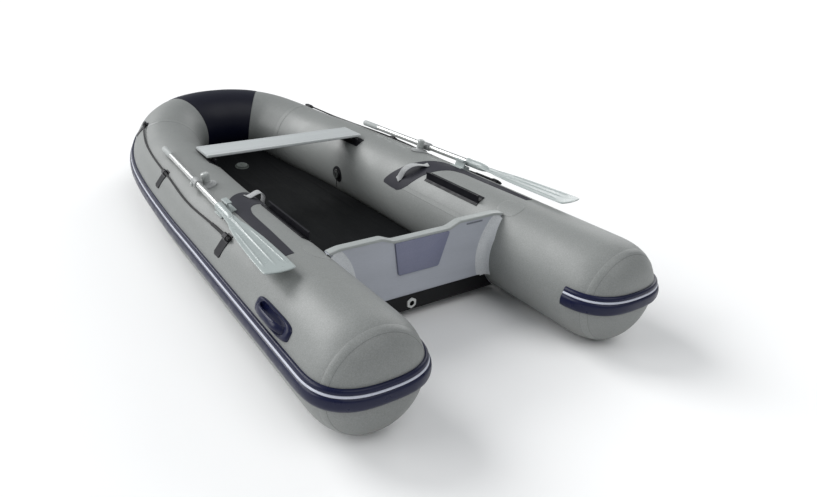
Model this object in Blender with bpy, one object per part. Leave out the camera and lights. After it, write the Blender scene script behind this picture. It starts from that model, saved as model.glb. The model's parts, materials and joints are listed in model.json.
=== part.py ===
"""Inflatable dinghy with a wooden transom, a plank seat on rails and a pair of stowed oars.

+Y points to the bow, +X to starboard and +Z up. Stations along the boat are first measured
forward from the aft end of the tubes, and MIDSHIP moves the finished boat so that its origin
lies under the middle of its box. Lengths are metres.
"""

import math

import bmesh
import bpy
import numpy as np
from mathutils import Matrix, Vector

# Hull
TUBE_RADIUS = 0.21
SKIN = 0.003
GAP = 0.0003
SEAM_GAP = 0.0006
MIDSHIP = 1.5775
# Plan of the starboard tube's centre line, from the stem round to the straight side.
CENTRE_LINE = (
    (0.0, 2.945), (0.12, 2.94), (0.24, 2.905), (0.335, 2.825), (0.40, 2.715),
    (0.455, 2.57), (0.49, 2.42), (0.517, 2.23), (0.54, 1.93), (0.554, 1.50), (0.554, 1.20),
)
HALF_SPACING = 0.554
BOW_RISE = 0.088
RISE_LENGTH = 0.90
TAIL_DEPTH = 0.19
TAIL_ROUNDNESS = 2.77
HULL_SIDES = 24
# Cross-sections of the skin, as distances from the stem; the hull's panels meet at two of them.
BOW_SEAM = 0.25
SHOULDER_SEAM = 0.62
BOW_SECTIONS = (0.0, 0.125, BOW_SEAM)
QUARTER_SECTIONS = (BOW_SEAM, 0.373, 0.496, SHOULDER_SEAM)
SIDE_SECTIONS = (SHOULDER_SEAM, 0.78, 0.98, 1.20, 1.42, 1.65)
BAFFLE_SECTION = 0.66

# Floor and stern
FLOOR_TOP = 0.100
FLOOR_THICKNESS = 0.044
FLOOR_AFT = 0.70
BOTTOM_EDGE = 0.0490
BOTTOM_KEEL = 0.0460
BOTTOM_SKIN = 0.003
TRANSOM_AFT = 0.596
TRANSOM_THICKNESS = 0.030
TRANSOM_BOTTOM = 0.0525
TRANSOM_TOP = 0.3945
NOTCH_TOP = 0.3725
NOTCH_HALF = 0.136
NOTCH_SLOPE = 0.054
SHOULDER_X = 0.378
SHOULDER_END = 0.432
SHOULDER_DROP = 0.010
FOOT_STRIP_TOP = 0.115

# Seat
SEAT_STATION = 1.895
SEAT_WIDTH = 0.178
SEAT_HALF_LENGTH = 0.461
SEAT_UNDERSIDE = 0.416
SEAT_THICKNESS = 0.016
RAIL_X = 0.425
RAIL_STRIPS = {"aft": (116.5, 131.5), "forward": (113.0, 129.0)}
RAIL_TOP = 0.4126
RAIL_LENGTHS = {"aft": 0.38, "forward": 0.255}
RAIL_STATIONS = {"aft": 0.94, "forward": 1.9025}

# Oars
LOCK_STATION = 1.422
LOCK_ANGLE = 79.0
PIN_HEIGHT = 0.0294
SHAFT_OFFSET = 0.0447
SHAFT_RADIUS = 0.0145
OAR_LEAN = -0.0389
OAR_SLOPE = -0.0053
GRIP_STATION = 2.012
NECK_STATION = 1.100
BLADE_STATION = 0.455
GRIP_LENGTH = 0.14

# Colours as linear RGB
HULL_GREY = (0.42, 0.43, 0.41)
NAVY = (0.012, 0.013, 0.045)
BLACK = (0.010, 0.010, 0.012)
CHARCOAL = (0.045, 0.045, 0.05)
ALUMINIUM = (0.75, 0.76, 0.76)
LIGHT_PLASTIC = (0.50, 0.54, 0.53)
PAD_GREY = (0.17, 0.17, 0.24)
BOARD_GREY = (0.35, 0.37, 0.42)

SIDES = (("port", -1), ("starboard", 1))


# ---------------------------------------------------------------- helpers

def clear_scene():
    for obj in list(bpy.data.objects):
        bpy.data.objects.remove(obj, do_unlink=True)


def material(name, colour, roughness=0.6, metallic=0.0):
    found = bpy.data.materials.get(name)
    if found:
        return found
    made = bpy.data.materials.new(name)
    made.use_nodes = True
    shader = made.node_tree.nodes["Principled BSDF"]
    shader.inputs["Base Color"].default_value = (*colour, 1.0)
    shader.inputs["Roughness"].default_value = roughness
    shader.inputs["Metallic"].default_value = metallic
    return made


def add(name, mesh, look, smooth=True):
    obj = bpy.data.objects.new(name, mesh)
    bpy.context.collection.objects.link(obj)
    mesh.materials.append(look)
    if smooth:
        mesh.shade_smooth()
        mesh.set_sharp_from_angle(angle=math.radians(35))
    return obj


def mesh_of(name, bm):
    bmesh.ops.recalc_face_normals(bm, faces=bm.faces)
    mesh = bpy.data.meshes.new(name)
    bm.to_mesh(mesh)
    bm.free()
    return mesh


def loft(name, rings, look, closed=False, capped=True, smooth=True):
    """Skin joining rings of equal point count; closed joins the last ring to the first."""
    bm = bmesh.new()
    loops = [[bm.verts.new(p) for p in ring] for ring in rings]
    count = len(loops[0])
    pairs = list(zip(loops, loops[1:])) + ([(loops[-1], loops[0])] if closed else [])
    for first, second in pairs:
        for i in range(count):
            j = (i + 1) % count
            bm.faces.new((first[i], first[j], second[j], second[i]))
    bmesh.ops.triangulate(bm, faces=bm.faces, quad_method="FIXED")
    if capped and not closed:
        bm.faces.new(loops[0])
        bm.faces.new(loops[-1])
    return add(name, mesh_of(name, bm), look, smooth)


def turned(name, profile, look, sides=20, place=None):
    """Body of revolution about Z from a closed (radius, height) outline off the axis."""
    rings = []
    for k in range(sides):
        turn = math.tau * k / sides
        rings.append([(r * math.cos(turn), r * math.sin(turn), z) for r, z in profile])
    obj = loft(name, rings, look, closed=True)
    if place is not None:
        obj.matrix_world = place
    return obj


def lathe(name, profile, look, sides=20, place=None):
    """Solid of revolution about Z from (radius, height) points between its two end discs."""
    rings = []
    for r, z in profile:
        rings.append([
            (r * math.cos(math.tau * k / sides), r * math.sin(math.tau * k / sides), z)
            for k in range(sides)
        ])
    obj = loft(name, rings, look)
    if place is not None:
        obj.matrix_world = place
    return obj


def prism(name, outline, axis_from, axis_to, look, across="XZ"):
    """Straight extrusion of an outline given in the XZ or XY plane."""
    def lift(point, depth):
        a, b = point
        return (a, depth, b) if across == "XZ" else (a, b, depth)
    rings = [[lift(p, axis_from) for p in outline], [lift(p, axis_to) for p in outline]]
    return loft(name, rings, look, smooth=False)


def frame_at(origin, z_axis, x_hint):
    """Placement whose Z is z_axis and whose X lies as near x_hint as it can."""
    z = Vector(z_axis).normalized()
    x = (Vector(x_hint) - z * z.dot(Vector(x_hint))).normalized()
    y = z.cross(x)
    place = Matrix((x, y, z)).transposed().to_4x4()
    place.translation = Vector(origin)
    return place


def rod(name, start, end, radius, look, sides=16):
    start, end = Vector(start), Vector(end)
    place = frame_at(start, end - start, (0.31, 0.22, 0.87))
    return lathe(name, [(radius, 0.0), (radius, (end - start).length)], look, sides, place)


def combine(obj, helper, operation):
    helper.hide_render = True
    helper.display_type = "WIRE"
    boolean = obj.modifiers.new(helper.name, "BOOLEAN")
    boolean.operation = operation
    boolean.solver = "EXACT"
    boolean.object = helper


def cut(obj, cutter):
    combine(obj, cutter, "DIFFERENCE")


def join_on(obj, helper):
    """Fuses a helper body onto a piece."""
    combine(obj, helper, "UNION")


def keep_inside(obj, helper):
    combine(obj, helper, "INTERSECT")


def pivot(name, place, pieces):
    """Empty on a moving body's axis, which carries the body's pieces."""
    empty = bpy.data.objects.new(name, None)
    bpy.context.collection.objects.link(empty)
    empty.empty_display_size = 0.05
    empty.matrix_world = place
    for piece in pieces:
        obj = bpy.data.objects[piece]
        obj.parent = empty
        obj.matrix_parent_inverse = place.inverted()


# ---------------------------------------------------------------- hull geometry

def smooth_line(points, steps=16):
    """Catmull-Rom curve through plan points that start on the boat's middle line."""
    knots = [Vector(p) for p in points]
    knots = [Vector((-knots[1].x, knots[1].y))] + knots + [2 * knots[-1] - knots[-2]]
    line = []
    for p0, p1, p2, p3 in zip(knots, knots[1:], knots[2:], knots[3:]):
        for k in range(steps):
            t = k / steps
            line.append(0.5 * (2 * p1 + (p2 - p0) * t + (2 * p0 - 5 * p1 + 4 * p2 - p3) * t ** 2
                               + (3 * p1 - p0 - 3 * p2 + p3) * t ** 3))
    line.append(knots[-2])
    return line


class TubeLine:
    """The starboard tube's centre line, by the distance s along it from the stem."""

    def __init__(self):
        plan = smooth_line(CENTRE_LINE) + [Vector((HALF_SPACING, TAIL_DEPTH))]
        xy = np.array([tuple(p) for p in plan])
        steps = np.linalg.norm(np.diff(xy, axis=0), axis=1)
        self.s = np.concatenate([[0.0], np.cumsum(steps)])
        self.xy = xy
        self.length = float(self.s[-1])

    def centre(self, s):
        x = float(np.interp(s, self.s, self.xy[:, 0]))
        y = float(np.interp(s, self.s, self.xy[:, 1]))
        rise = BOW_RISE * 0.5 * (1.0 + math.cos(math.pi * min(s / RISE_LENGTH, 1.0)))
        return Vector((x, y, TUBE_RADIUS + rise))

    def frame(self, s):
        """Centre, outboard direction and upward direction of the cross-section at s."""
        step = 0.01
        ahead = self.centre(max(s - step, 0.0))
        behind = self.centre(min(s + step, self.length))
        if s < step:
            ahead = Vector((-behind.x, behind.y, behind.z))
        along = (ahead - behind).normalized()
        out = Vector((along.y, -along.x, 0.0)).normalized()
        up = out.cross(along).normalized()
        return self.centre(s), out, up if up.z > 0 else -up

    def at_station(self, y):
        """Distance s of the section at boat station y, aft of the bow's curve."""
        return float(np.interp(-y, -self.xy[:, 1], self.s))

    def point(self, s, angle, radius=TUBE_RADIUS, side=1):
        """Point at an angle up from outboard, on the starboard or the port tube."""
        centre, out, up = self.frame(s)
        turn = math.radians(angle)
        p = centre + radius * (math.cos(turn) * out + math.sin(turn) * up)
        return Vector((side * p.x, p.y, p.z))

    def normal(self, s, angle, side=1):
        return (self.point(s, angle, 1.0, side) - self.point(s, angle, 0.0, side)).normalized()


TUBE = TubeLine()


def facet_angles():
    return [360.0 * k / HULL_SIDES for k in range(HULL_SIDES)]


def tube_ring(s, radius, side):
    return [TUBE.point(s, a, radius, side) for a in facet_angles()]


def sleeve(name, outer, inner, look):
    """Open-ended wall between an outer and an inner run of rings, split along the same diagonals."""
    bm = bmesh.new()
    walls = [[[bm.verts.new(p) for p in ring] for ring in rings] for rings in (outer, inner)]
    pairs = [pair for wall in walls for pair in zip(wall, wall[1:])]
    pairs += [(walls[0][0], walls[1][0]), (walls[0][-1], walls[1][-1])]
    for first, second in pairs:
        for i in range(HULL_SIDES):
            j = (i + 1) % HULL_SIDES
            bm.faces.new((first[i], first[j], second[j], second[i]))
    bmesh.ops.triangulate(bm, faces=bm.faces, quad_method="FIXED")
    return add(name, mesh_of(name, bm), look)


def tube_skin(name, sections, look, outer=TUBE_RADIUS, wall=SKIN, side=1):
    """Open-ended length of one tube's skin."""
    walls = [[tube_ring(s, r, side) for s in sections] for r in (outer, outer - wall)]
    return sleeve(name, *walls, look)


def applied(name, look, side, outline, low, high):
    """Layer lying on the skin's own facets, within an outline of (distance s, angle) corners."""
    sections = [*BOW_SECTIONS, *QUARTER_SECTIONS[1:], *SIDE_SECTIONS[1:], TUBE.length]
    first, last = min(s for s, _ in outline), max(s for s, _ in outline)
    start = max(k for k, s in enumerate(sections) if s <= first)
    stop = min(k for k, s in enumerate(sections) if s >= last)
    radius = TUBE_RADIUS + high
    layer = tube_skin(name, sections[start:stop + 1], look, radius, high - low, side)
    rings = [[TUBE.point(s, a, r, side) for s, a in outline] for r in (0.11, 0.33)]
    keep_inside(layer, loft(f"{name}_outline", rings, look, smooth=False))
    return layer


def tail_profile(radius, depth, steps):
    """(radius, station) pairs from the tube's rim round to near the tail's middle."""
    pairs = []
    for k in range(steps):
        turn = 0.5 * math.pi * k / steps
        pairs.append((
            radius * math.cos(turn) ** (2 / TAIL_ROUNDNESS),
            TAIL_DEPTH - depth * math.sin(turn) ** (2 / TAIL_ROUNDNESS),
        ))
    return pairs


def hull_skins():
    look = material("hull_fabric", HULL_GREY, 0.55)
    bow_centre(look)
    for word, side in SIDES:
        tube_skin(f"bow_quarter_{word}", trimmed(QUARTER_SECTIONS), look, side=side)
        side_tube(word, side, look)
        tail_cone(word, side, look)


def trimmed(sections):
    """Sections drawn back a little at both ends, to clear the neighbouring panels."""
    return [sections[0] + SEAM_GAP, *sections[1:-1], sections[-1] - SEAM_GAP]


def side_tube(word, side, look):
    skin = tube_skin(f"side_tube_{word}", trimmed((*SIDE_SECTIONS, TUBE.length)), look, side=side)
    place = valve_place(side)
    hole = lathe(f"valve_hole_{word}", [(0.0205, -0.05), (0.0205, 0.02)], look, 16, place)
    cut(skin, hole)


def bow_rings(radius, sections):
    """Rings round the bow's middle length, where negative s lies to port."""
    return [tube_ring(abs(s), radius, 1 if s >= 0 else -1) for s in sections]


def bow_centre(look):
    sections = [-s for s in BOW_SECTIONS[:0:-1]] + list(BOW_SECTIONS)
    outside = bow_rings(TUBE_RADIUS, sections)
    sleeve("bow_centre", outside, bow_rings(TUBE_RADIUS - SKIN, sections), look)
    patch_look = material("bow_patch_navy", NAVY, 0.45)
    inner, outer = TUBE_RADIUS + 0.0008, TUBE_RADIUS + 0.0024
    sleeve("bow_patch", bow_rings(outer, sections), bow_rings(inner, sections), patch_look)


def tail_cone(word, side, look):
    """Rounded end of a tube: a dome with its wall, open at the rim where the side tube begins."""
    bm = bmesh.new()
    walls = []
    for inset in (0.0, SKIN):
        rings = []
        for radius, station in tail_profile(TUBE_RADIUS - inset, TAIL_DEPTH - inset, 7):
            rings.append([
                bm.verts.new((
                    side * (HALF_SPACING + radius * math.cos(math.radians(a))),
                    station,
                    TUBE_RADIUS + radius * math.sin(math.radians(a)),
                ))
                for a in facet_angles()
            ])
        tip = bm.verts.new((side * HALF_SPACING, inset, TUBE_RADIUS))
        walls.append((rings, tip))
    for rings, tip in walls:
        for first, second in zip(rings, rings[1:]):
            for i in range(HULL_SIDES):
                j = (i + 1) % HULL_SIDES
                bm.faces.new((first[i], first[j], second[j], second[i]))
        for i in range(HULL_SIDES):
            bm.faces.new((rings[-1][i], rings[-1][(i + 1) % HULL_SIDES], tip))
    outer, inner = walls[0][0][0], walls[1][0][0]
    for i in range(HULL_SIDES):
        j = (i + 1) % HULL_SIDES
        bm.faces.new((outer[i], outer[j], inner[j], inner[i]))
    name = f"tail_cone_{word}"
    add(name, mesh_of(name, bm), look)


def baffle(word, side):
    """Fabric wall inside the hull between a side chamber and the bow chamber."""
    look = material("baffle_fabric", (0.30, 0.31, 0.30), 0.8)
    centre, out, up = TUBE.frame(BAFFLE_SECTION)
    along = out.cross(up).normalized()
    radius = (TUBE_RADIUS - SKIN) * math.cos(math.pi / HULL_SIDES) - 0.0035
    rings = []
    for shift in (0.0, 0.0025):
        ring = []
        for a in facet_angles():
            turn = math.radians(a)
            p = centre + radius * (math.cos(turn) * out + math.sin(turn) * up) + shift * along
            ring.append((side * p.x, p.y, p.z))
        rings.append(ring)
    loft(f"baffle_{word}", rings, look)


# ---------------------------------------------------------------- rubbing strake

STRAKE_INNER = ((-4.6, 0.0016), (5.5, 0.0016), (15.4, 0.0016))
STRAKE_OUTER = (
    (15.4, 0.0065), (13.2, 0.0125), (10.2, 0.0115), (8.0, 0.0145), (5.2, 0.0190), (-0.4, 0.0190),
    (-4.6, 0.0095),
)
STRAKE_END = 174.5


def tail_surface(angle, turn, proud):
    """Point standing proud of the starboard tail, where turn runs from 0 outboard to 180 inboard."""
    n = TAIL_ROUNDNESS
    height = TUBE_RADIUS * math.sin(math.radians(angle))
    deepest = (1 - abs(height / TUBE_RADIUS) ** n) ** (1 / n)
    lean = math.radians(turn)
    u = deepest * abs(math.sin(lean)) ** (2 / n)
    reach = TUBE_RADIUS * max(1 - u ** n, 0.0) ** (1 / n)
    across = math.copysign(math.sqrt(max(reach ** 2 - height ** 2, 0.0)), math.cos(lean))
    radial = n * reach ** (n - 1) / TUBE_RADIUS ** n
    aft = n * u ** (n - 1) / TAIL_DEPTH
    normal = Vector((radial * across / reach, -aft, radial * height / reach)).normalized()
    return Vector((HALF_SPACING + across, TAIL_DEPTH * (1 - u), TUBE_RADIUS + height)) + proud * normal


def strake(word, side):
    """Bulging rubber profile round the outside of one half of the hull, from stem to tail."""
    look = material("strake_navy", NAVY, 0.4)
    profile = STRAKE_INNER + STRAKE_OUTER
    sections = [GAP, *BOW_SECTIONS[1:], *QUARTER_SECTIONS[1:], *SIDE_SECTIONS[1:], TUBE.length]
    rings = []
    for s in sections:
        over_patch = 0.0022 if s <= BOW_SEAM else 0.0
        rings.append([
            TUBE.point(s, angle, TUBE_RADIUS + proud + (over_patch if proud < 0.005 else 0.0), side)
            for angle, proud in profile
        ])
    for turn in (*range(9, 171, 9), STRAKE_END):
        clear = 0.0010 + 0.0012 * min(turn, 180 - turn) / 45
        ring = []
        for angle, proud in profile:
            point = tail_surface(angle, turn, proud + (clear if proud < 0.005 else 0.0))
            ring.append((side * point.x, point.y, point.z))
        rings.append(ring)
    loft(f"strake_{word}", rings, look)


# ---------------------------------------------------------------- floor and stern

def inner_edge(s, height, clearance):
    """Plan point inboard of the starboard tube, clear of its skin at a height."""
    centre, out, _ = TUBE.frame(s)
    lift = centre.z - height
    reach = math.sqrt(max(TUBE_RADIUS ** 2 - lift ** 2, 0.0)) + clearance
    return centre.x - reach * out.x, centre.y - reach * out.y


def bottom_height(s):
    """Height of the bottom skin's edge, which rises with the bow."""
    return TUBE.centre(s).z - TUBE_RADIUS + BOTTOM_EDGE


FLOOR_SECTIONS = (0.045, 0.125, BOW_SEAM, 0.373, 0.496, SHOULDER_SEAM, 0.78, 0.98, 1.20, 1.65)


def floor_edges():
    """Corners (x, y, top) of the floor mat's starboard edge, from the bow aft."""
    lift = FLOOR_TOP - BOTTOM_EDGE
    edges = []
    for s in FLOOR_SECTIONS:
        top = bottom_height(s) + lift
        edges.append((*inner_edge(s, top, 0.0065), top))
    return edges + [(edges[-1][0], FLOOR_AFT, FLOOR_TOP)]


def air_floor():
    """Inflated floor mat that lies between the tubes and turns up a little at the bow."""
    look = material("floor_charcoal", (0.018, 0.018, 0.02), 0.6)
    rings = []
    for x, y, top in floor_edges():
        low = top - FLOOR_THICKNESS
        rings.append([(-x, y, low), (x, y, low), (x, y, top), (-x, y, top)])
    mat = loft("air_floor", rings, look, smooth=False)
    hole_profile = [(0.0205, -0.0400), (0.0205, 0.02)]
    cut(mat, lathe("floor_valve_hole", hole_profile, look, 16, floor_valve_place()))


def bottom_fabric():
    """Bottom skin joined to both tubes and the bow, with a foot strip turned up the transom."""
    look = material("bottom_black", BLACK, 0.55)
    rings = []
    for s in (0.02, 0.125, BOW_SEAM, 0.373, 0.496, SHOULDER_SEAM, 0.78, 0.98, 1.20, 1.65, None):
        if s is None:
            y = TRANSOM_AFT - 0.0026
            height = BOTTOM_EDGE
        else:
            height = bottom_height(s)
            x, y = inner_edge(s, height, 0.0075)
        keel = height - (BOTTOM_EDGE - BOTTOM_KEEL)
        low = height - BOTTOM_SKIN
        rings.append([(-x, y, height), (0.0, y, keel), (x, y, height),
                      (x, y, low), (0.0, y, keel - BOTTOM_SKIN), (-x, y, low)])
    skin = loft("bottom_fabric", rings, look, smooth=False)
    aft, fore = TRANSOM_AFT - 0.0026, TRANSOM_AFT - 0.0004
    right = board_side(BOTTOM_EDGE - 0.002, FOOT_STRIP_TOP, 4, 0.0045)
    strip = prism("foot_strip", right + [(-x, z) for x, z in reversed(right)], aft, fore, look)
    join_on(skin, strip)
    hole = frame_at((DRAIN_X, aft - 0.02, DRAIN_Z), (0, 1, 0), (1, 0, 0))
    cut(skin, lathe("strip_hole", [(0.0160, 0.0), (0.0160, 0.03)], look, 16, hole))


def board_side(low, high, steps, clearance):
    """Points up the transom's side, which follows the tube's curve."""
    points = []
    for k in range(steps + 1):
        z = low + (high - low) * k / steps
        reach = math.sqrt((TUBE_RADIUS + clearance) ** 2 - (z - TUBE_RADIUS) ** 2)
        points.append((HALF_SPACING - reach, z))
    return points


def transom_outline():
    """Right half of the board's outline from its foot up the tube's curve to the middle."""
    return board_side(TRANSOM_BOTTOM, 0.372, 8, 0.0025) + [
        (SHOULDER_END - 0.004, TRANSOM_TOP - SHOULDER_DROP),
        (SHOULDER_X, TRANSOM_TOP),
        (NOTCH_HALF + NOTCH_SLOPE, TRANSOM_TOP),
        (NOTCH_HALF, NOTCH_TOP),
    ]


def transom():
    board_look = material("transom_board_grey", BOARD_GREY, 0.45)
    right = transom_outline()
    outline = right + [(-x, z) for x, z in reversed(right)]
    aft, fore = TRANSOM_AFT, TRANSOM_AFT + TRANSOM_THICKNESS
    board = prism("transom_board", outline, aft, fore, board_look)
    drain = frame_at((DRAIN_X, aft - 0.02, DRAIN_Z), (0, 1, 0), (1, 0, 0))
    cut(board, lathe("drain_hole", [(0.0145, 0.0), (0.0145, 0.08)], board_look, 16, drain))
    transom_cap()
    motor_pad(aft - GAP - 0.008, aft - GAP)


def transom_cap():
    """Plastic channel that sits over the board's top edge and follows its notch."""
    look = material("cap_light_grey", (0.50, 0.52, 0.50), 0.4)
    right = [
        (NOTCH_HALF, NOTCH_TOP),
        (NOTCH_HALF + NOTCH_SLOPE, TRANSOM_TOP),
        (SHOULDER_X, TRANSOM_TOP),
        (SHOULDER_END - 0.008, TRANSOM_TOP - SHOULDER_DROP * 0.91),
    ]
    path = [(-x, z) for x, z in reversed(right)] + right
    inner, outer, skirt = GAP, 0.0045, -0.0060
    aft, fore = TRANSOM_AFT, TRANSOM_AFT + TRANSOM_THICKNESS
    side_in, side_out = 0.0004, 0.0034
    section = (
        (aft - side_out, skirt), (aft - side_out, outer), (fore + side_out, outer),
        (fore + side_out, skirt), (fore + side_in, skirt), (fore + side_in, inner),
        (aft - side_in, inner), (aft - side_in, skirt),
    )
    rings = [[(x, y, z + up) for y, up in section] for x, z in path]
    loft("transom_cap", rings, look, smooth=False)


def motor_pad(aft, fore):
    look = material("motor_pad_grey", PAD_GREY, 0.5)
    outline = ((-0.133, 0.3660), (-0.107, 0.220), (0.092, 0.220), (0.137, 0.3660))
    pad = prism("motor_pad", outline, aft, fore, look)
    round_off = pad.modifiers.new("edge", "BEVEL")
    round_off.width = 0.002
    round_off.segments = 1


DRAIN_X = -0.031
DRAIN_Z = 0.0735


def drain():
    """Self-draining through-hull: a flanged sleeve in the board and a screw plug inside it."""
    body_look = material("drain_light_grey", (0.55, 0.56, 0.55), 0.35)
    aft, fore = TRANSOM_AFT, TRANSOM_AFT + TRANSOM_THICKNESS
    place = frame_at((DRAIN_X, aft, DRAIN_Z), (0, 1, 0), (1, 0, 0))
    length = TRANSOM_THICKNESS
    turned("drain_body", [
        (0.0115, -0.0085), (0.0115, length + 0.004), (0.0138, length + 0.004),
        (0.0138, -0.0029), (0.0225, -0.0029), (0.0205, -0.0085),
    ], body_look, 20, place)
    plug_look = material("drain_plug_black", BLACK, 0.5)
    inside = frame_at((DRAIN_X, fore, DRAIN_Z), (0, 1, 0), (1, 0, 0))
    lathe("drain_plug", [
        (0.0108, -0.018), (0.0108, 0.0048), (0.0170, 0.0048), (0.0165, 0.012), (0.006, 0.0125),
        (0.0055, 0.020),
    ], plug_look, 20, inside)


# ---------------------------------------------------------------- valves

VALVE_STATION = 1.857
VALVE_ANGLE = 184.0
FLOOR_VALVE = (-0.014, 2.476)


def valve_place(side):
    s = TUBE.at_station(VALVE_STATION)
    seat = TUBE.point(s, VALVE_ANGLE, TUBE_RADIUS, side)
    return frame_at(seat, TUBE.normal(s, VALVE_ANGLE, side), (0, 1, 0))


def floor_valve_place():
    """Seat of the floor's valve, square to the mat's panel that rises between two sections."""
    edges = floor_edges()
    _, fore, high = edges[FLOOR_SECTIONS.index(SHOULDER_SEAM)]
    _, aft, low = edges[FLOOR_SECTIONS.index(0.78)]
    slope = (high - low) / (fore - aft)
    x, y = FLOOR_VALVE
    return frame_at((x, y, low + slope * (y - aft)), (0, -slope, 1), (1, 0, 0))


def valve(word, place, with_plunger=True, rest=0.0022, flange=0.032):
    body_look = material("valve_black", BLACK, 0.45)
    cap_look = material("valve_cap_grey", (0.33, 0.34, 0.34), 0.4)
    turned(f"valve_body_{word}", [
        (0.0130, rest + 0.005), (0.0130, -0.018), (0.0055, -0.018), (0.0055, -0.022),
        (0.0130, -0.022), (0.0130, -0.036), (0.0195, -0.036), (0.0195, rest),
        (flange, rest + 0.0004), (flange - 0.002, rest + 0.005),
    ], body_look, 16, place)
    rim = flange - 0.0085
    lathe(f"valve_cap_{word}", [
        (0.0122, rest + 0.001), (0.0122, rest + 0.0054), (rim, rest + 0.0054),
        (rim - 0.001, rest + 0.0120), (rim - 0.005, rest + 0.0135),
    ], cap_look, 16, place)
    if with_plunger:
        lathe(f"valve_plunger_{word}", [
            (0.0115, -0.0250), (0.0115, -0.0226), (0.0045, -0.0222), (0.0045, -0.0105),
            (0.0085, -0.0100), (0.0085, -0.0060),
        ], material("valve_plunger_white", (0.6, 0.6, 0.6), 0.4), 12, place)


def valves():
    for word, side in SIDES:
        valve(word, valve_place(side))
    valve("floor", floor_valve_place(), with_plunger=False, rest=0.0004, flange=0.045)


# ---------------------------------------------------------------- seat

def seat():
    plank_look = material("seat_paint_grey", (0.46, 0.48, 0.48), 0.45)
    aft, fore = SEAT_STATION - SEAT_WIDTH / 2, SEAT_STATION + SEAT_WIDTH / 2
    low, high = SEAT_UNDERSIDE, SEAT_UNDERSIDE + SEAT_THICKNESS
    edge = 0.004
    outline = (
        (aft + edge, low), (aft, low + edge), (aft, high - edge), (aft + edge, high),
        (fore - edge, high), (fore, high - edge), (fore, low + edge), (fore - edge, low),
    )
    rings = [[(x, y, z) for y, z in outline] for x in (-SEAT_HALF_LENGTH, SEAT_HALF_LENGTH)]
    loft("seat_plank", rings, plank_look, smooth=False)
    for word, side in SIDES:
        seat_clip(word, side)
        for place in ("aft", "forward"):
            seat_rail(f"seat_rail_{place}_{word}", side, place)
    pieces = ["seat_plank", "seat_clip_port", "seat_clip_starboard"]
    pivot("seat_slide", Matrix.Translation((0.0, SEAT_STATION, SEAT_UNDERSIDE)), pieces)


def seat_clip(word, side):
    """Channel under the plank's end that grips the rail's bead."""
    look = material("clip_grey", (0.30, 0.31, 0.31), 0.45)
    top = SEAT_UNDERSIDE - GAP
    outline = (
        (-0.0090, top), (0.0090, top), (0.0090, 0.4015), (0.0030, 0.4015), (0.0030, 0.4062),
        (0.0050, 0.4062), (0.0050, 0.4134), (-0.0050, 0.4134), (-0.0050, 0.4062),
        (-0.0030, 0.4062), (-0.0030, 0.4015), (-0.0090, 0.4015),
    )
    shifted = [(side * (RAIL_X + x), z) for x, z in outline]
    prism(f"seat_clip_{word}", shifted, SEAT_STATION - 0.06, SEAT_STATION + 0.06, look)


def seat_rail(name, side, place):
    """Strip lying on the tube, with an upright web and a bead that runs straight fore and aft."""
    look = material("rail_black", (0.014, 0.014, 0.018), 0.5)
    station, length, angles = RAIL_STATIONS[place], RAIL_LENGTHS[place], RAIL_STRIPS[place]
    ends = [TUBE.at_station(station + share * length) for share in (0.5, 0.0, -0.5)]
    outline = [(s, angles[0]) for s in ends] + [(s, angles[1]) for s in reversed(ends)]
    strip = applied(name, look, side, outline, 0.0006, 0.0046)
    rings = []
    for share in (-0.495, -0.25, 0.0, 0.25, 0.495):
        y = station + share * length
        section = (
            (RAIL_X + 0.0020, surface_height(RAIL_X + 0.002, y) + 0.0016), (RAIL_X + 0.0020, 0.4070),
            (RAIL_X + 0.0040, 0.4070), (RAIL_X + 0.0040, RAIL_TOP), (RAIL_X - 0.0040, RAIL_TOP),
            (RAIL_X - 0.0040, 0.4070), (RAIL_X - 0.0020, 0.4070),
            (RAIL_X - 0.0020, surface_height(RAIL_X - 0.002, y) + 0.0016),
        )
        rings.append([(side * x, y, z) for x, z in section])
    join_on(strip, loft(f"{name}_bead", rings, look, smooth=False))


def surface_height(x, station):
    """Height of the tube's upper surface at a place in plan."""
    centre = TUBE.centre(TUBE.at_station(station))
    return centre.z + math.sqrt(TUBE_RADIUS ** 2 - (x - centre.x) ** 2)


# ---------------------------------------------------------------- handles, patches and rope

def lifting_handle(word, side):
    """Moulded handle: a plate on the tube with a bar raised along its middle."""
    look = material("handle_navy", NAVY, 0.4)
    middle = 0.405
    half = ((0.125, 26.0), (0.118, 22.0), (0.10, 20.0))
    half += tuple((-dy, a) for dy, a in reversed(half))
    outline = half + tuple((dy, 56.5 - a) for dy, a in reversed(half))
    outline = [(TUBE.at_station(middle + dy), a) for dy, a in outline]
    plate = applied(f"lifting_handle_{word}", look, side, outline, 0.0008, 0.006)
    route = ((-0.085, 0.007), (-0.076, 0.018), (-0.055, 0.031), (0.0, 0.036),
             (0.055, 0.031), (0.076, 0.018), (0.085, 0.007))
    rings = []
    half_width, half_depth = 0.013, 0.0065
    for i, (dy, lift) in enumerate(route):
        before, after = route[max(i - 1, 0)], route[min(i + 1, len(route) - 1)]
        slope = Vector((after[0] - before[0], after[1] - before[1])).normalized()
        s = TUBE.at_station(middle + dy)
        normal = TUBE.normal(s, 28.25, side)
        centre = TUBE.point(s, 28.25, TUBE_RADIUS + lift, side)
        thick = Vector((0, -slope.y, 0)) + slope.x * normal
        wide = normal.cross(Vector((0, 1, 0))).normalized()
        rings.append([
            centre + half_width * math.cos(t) * wide + half_depth * math.sin(t) * thick
            for t in (math.tau * k / 10 for k in range(10))
        ])
    bar = loft(f"handle_bar_{word}", rings, look)
    join_on(plate, bar)


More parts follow.
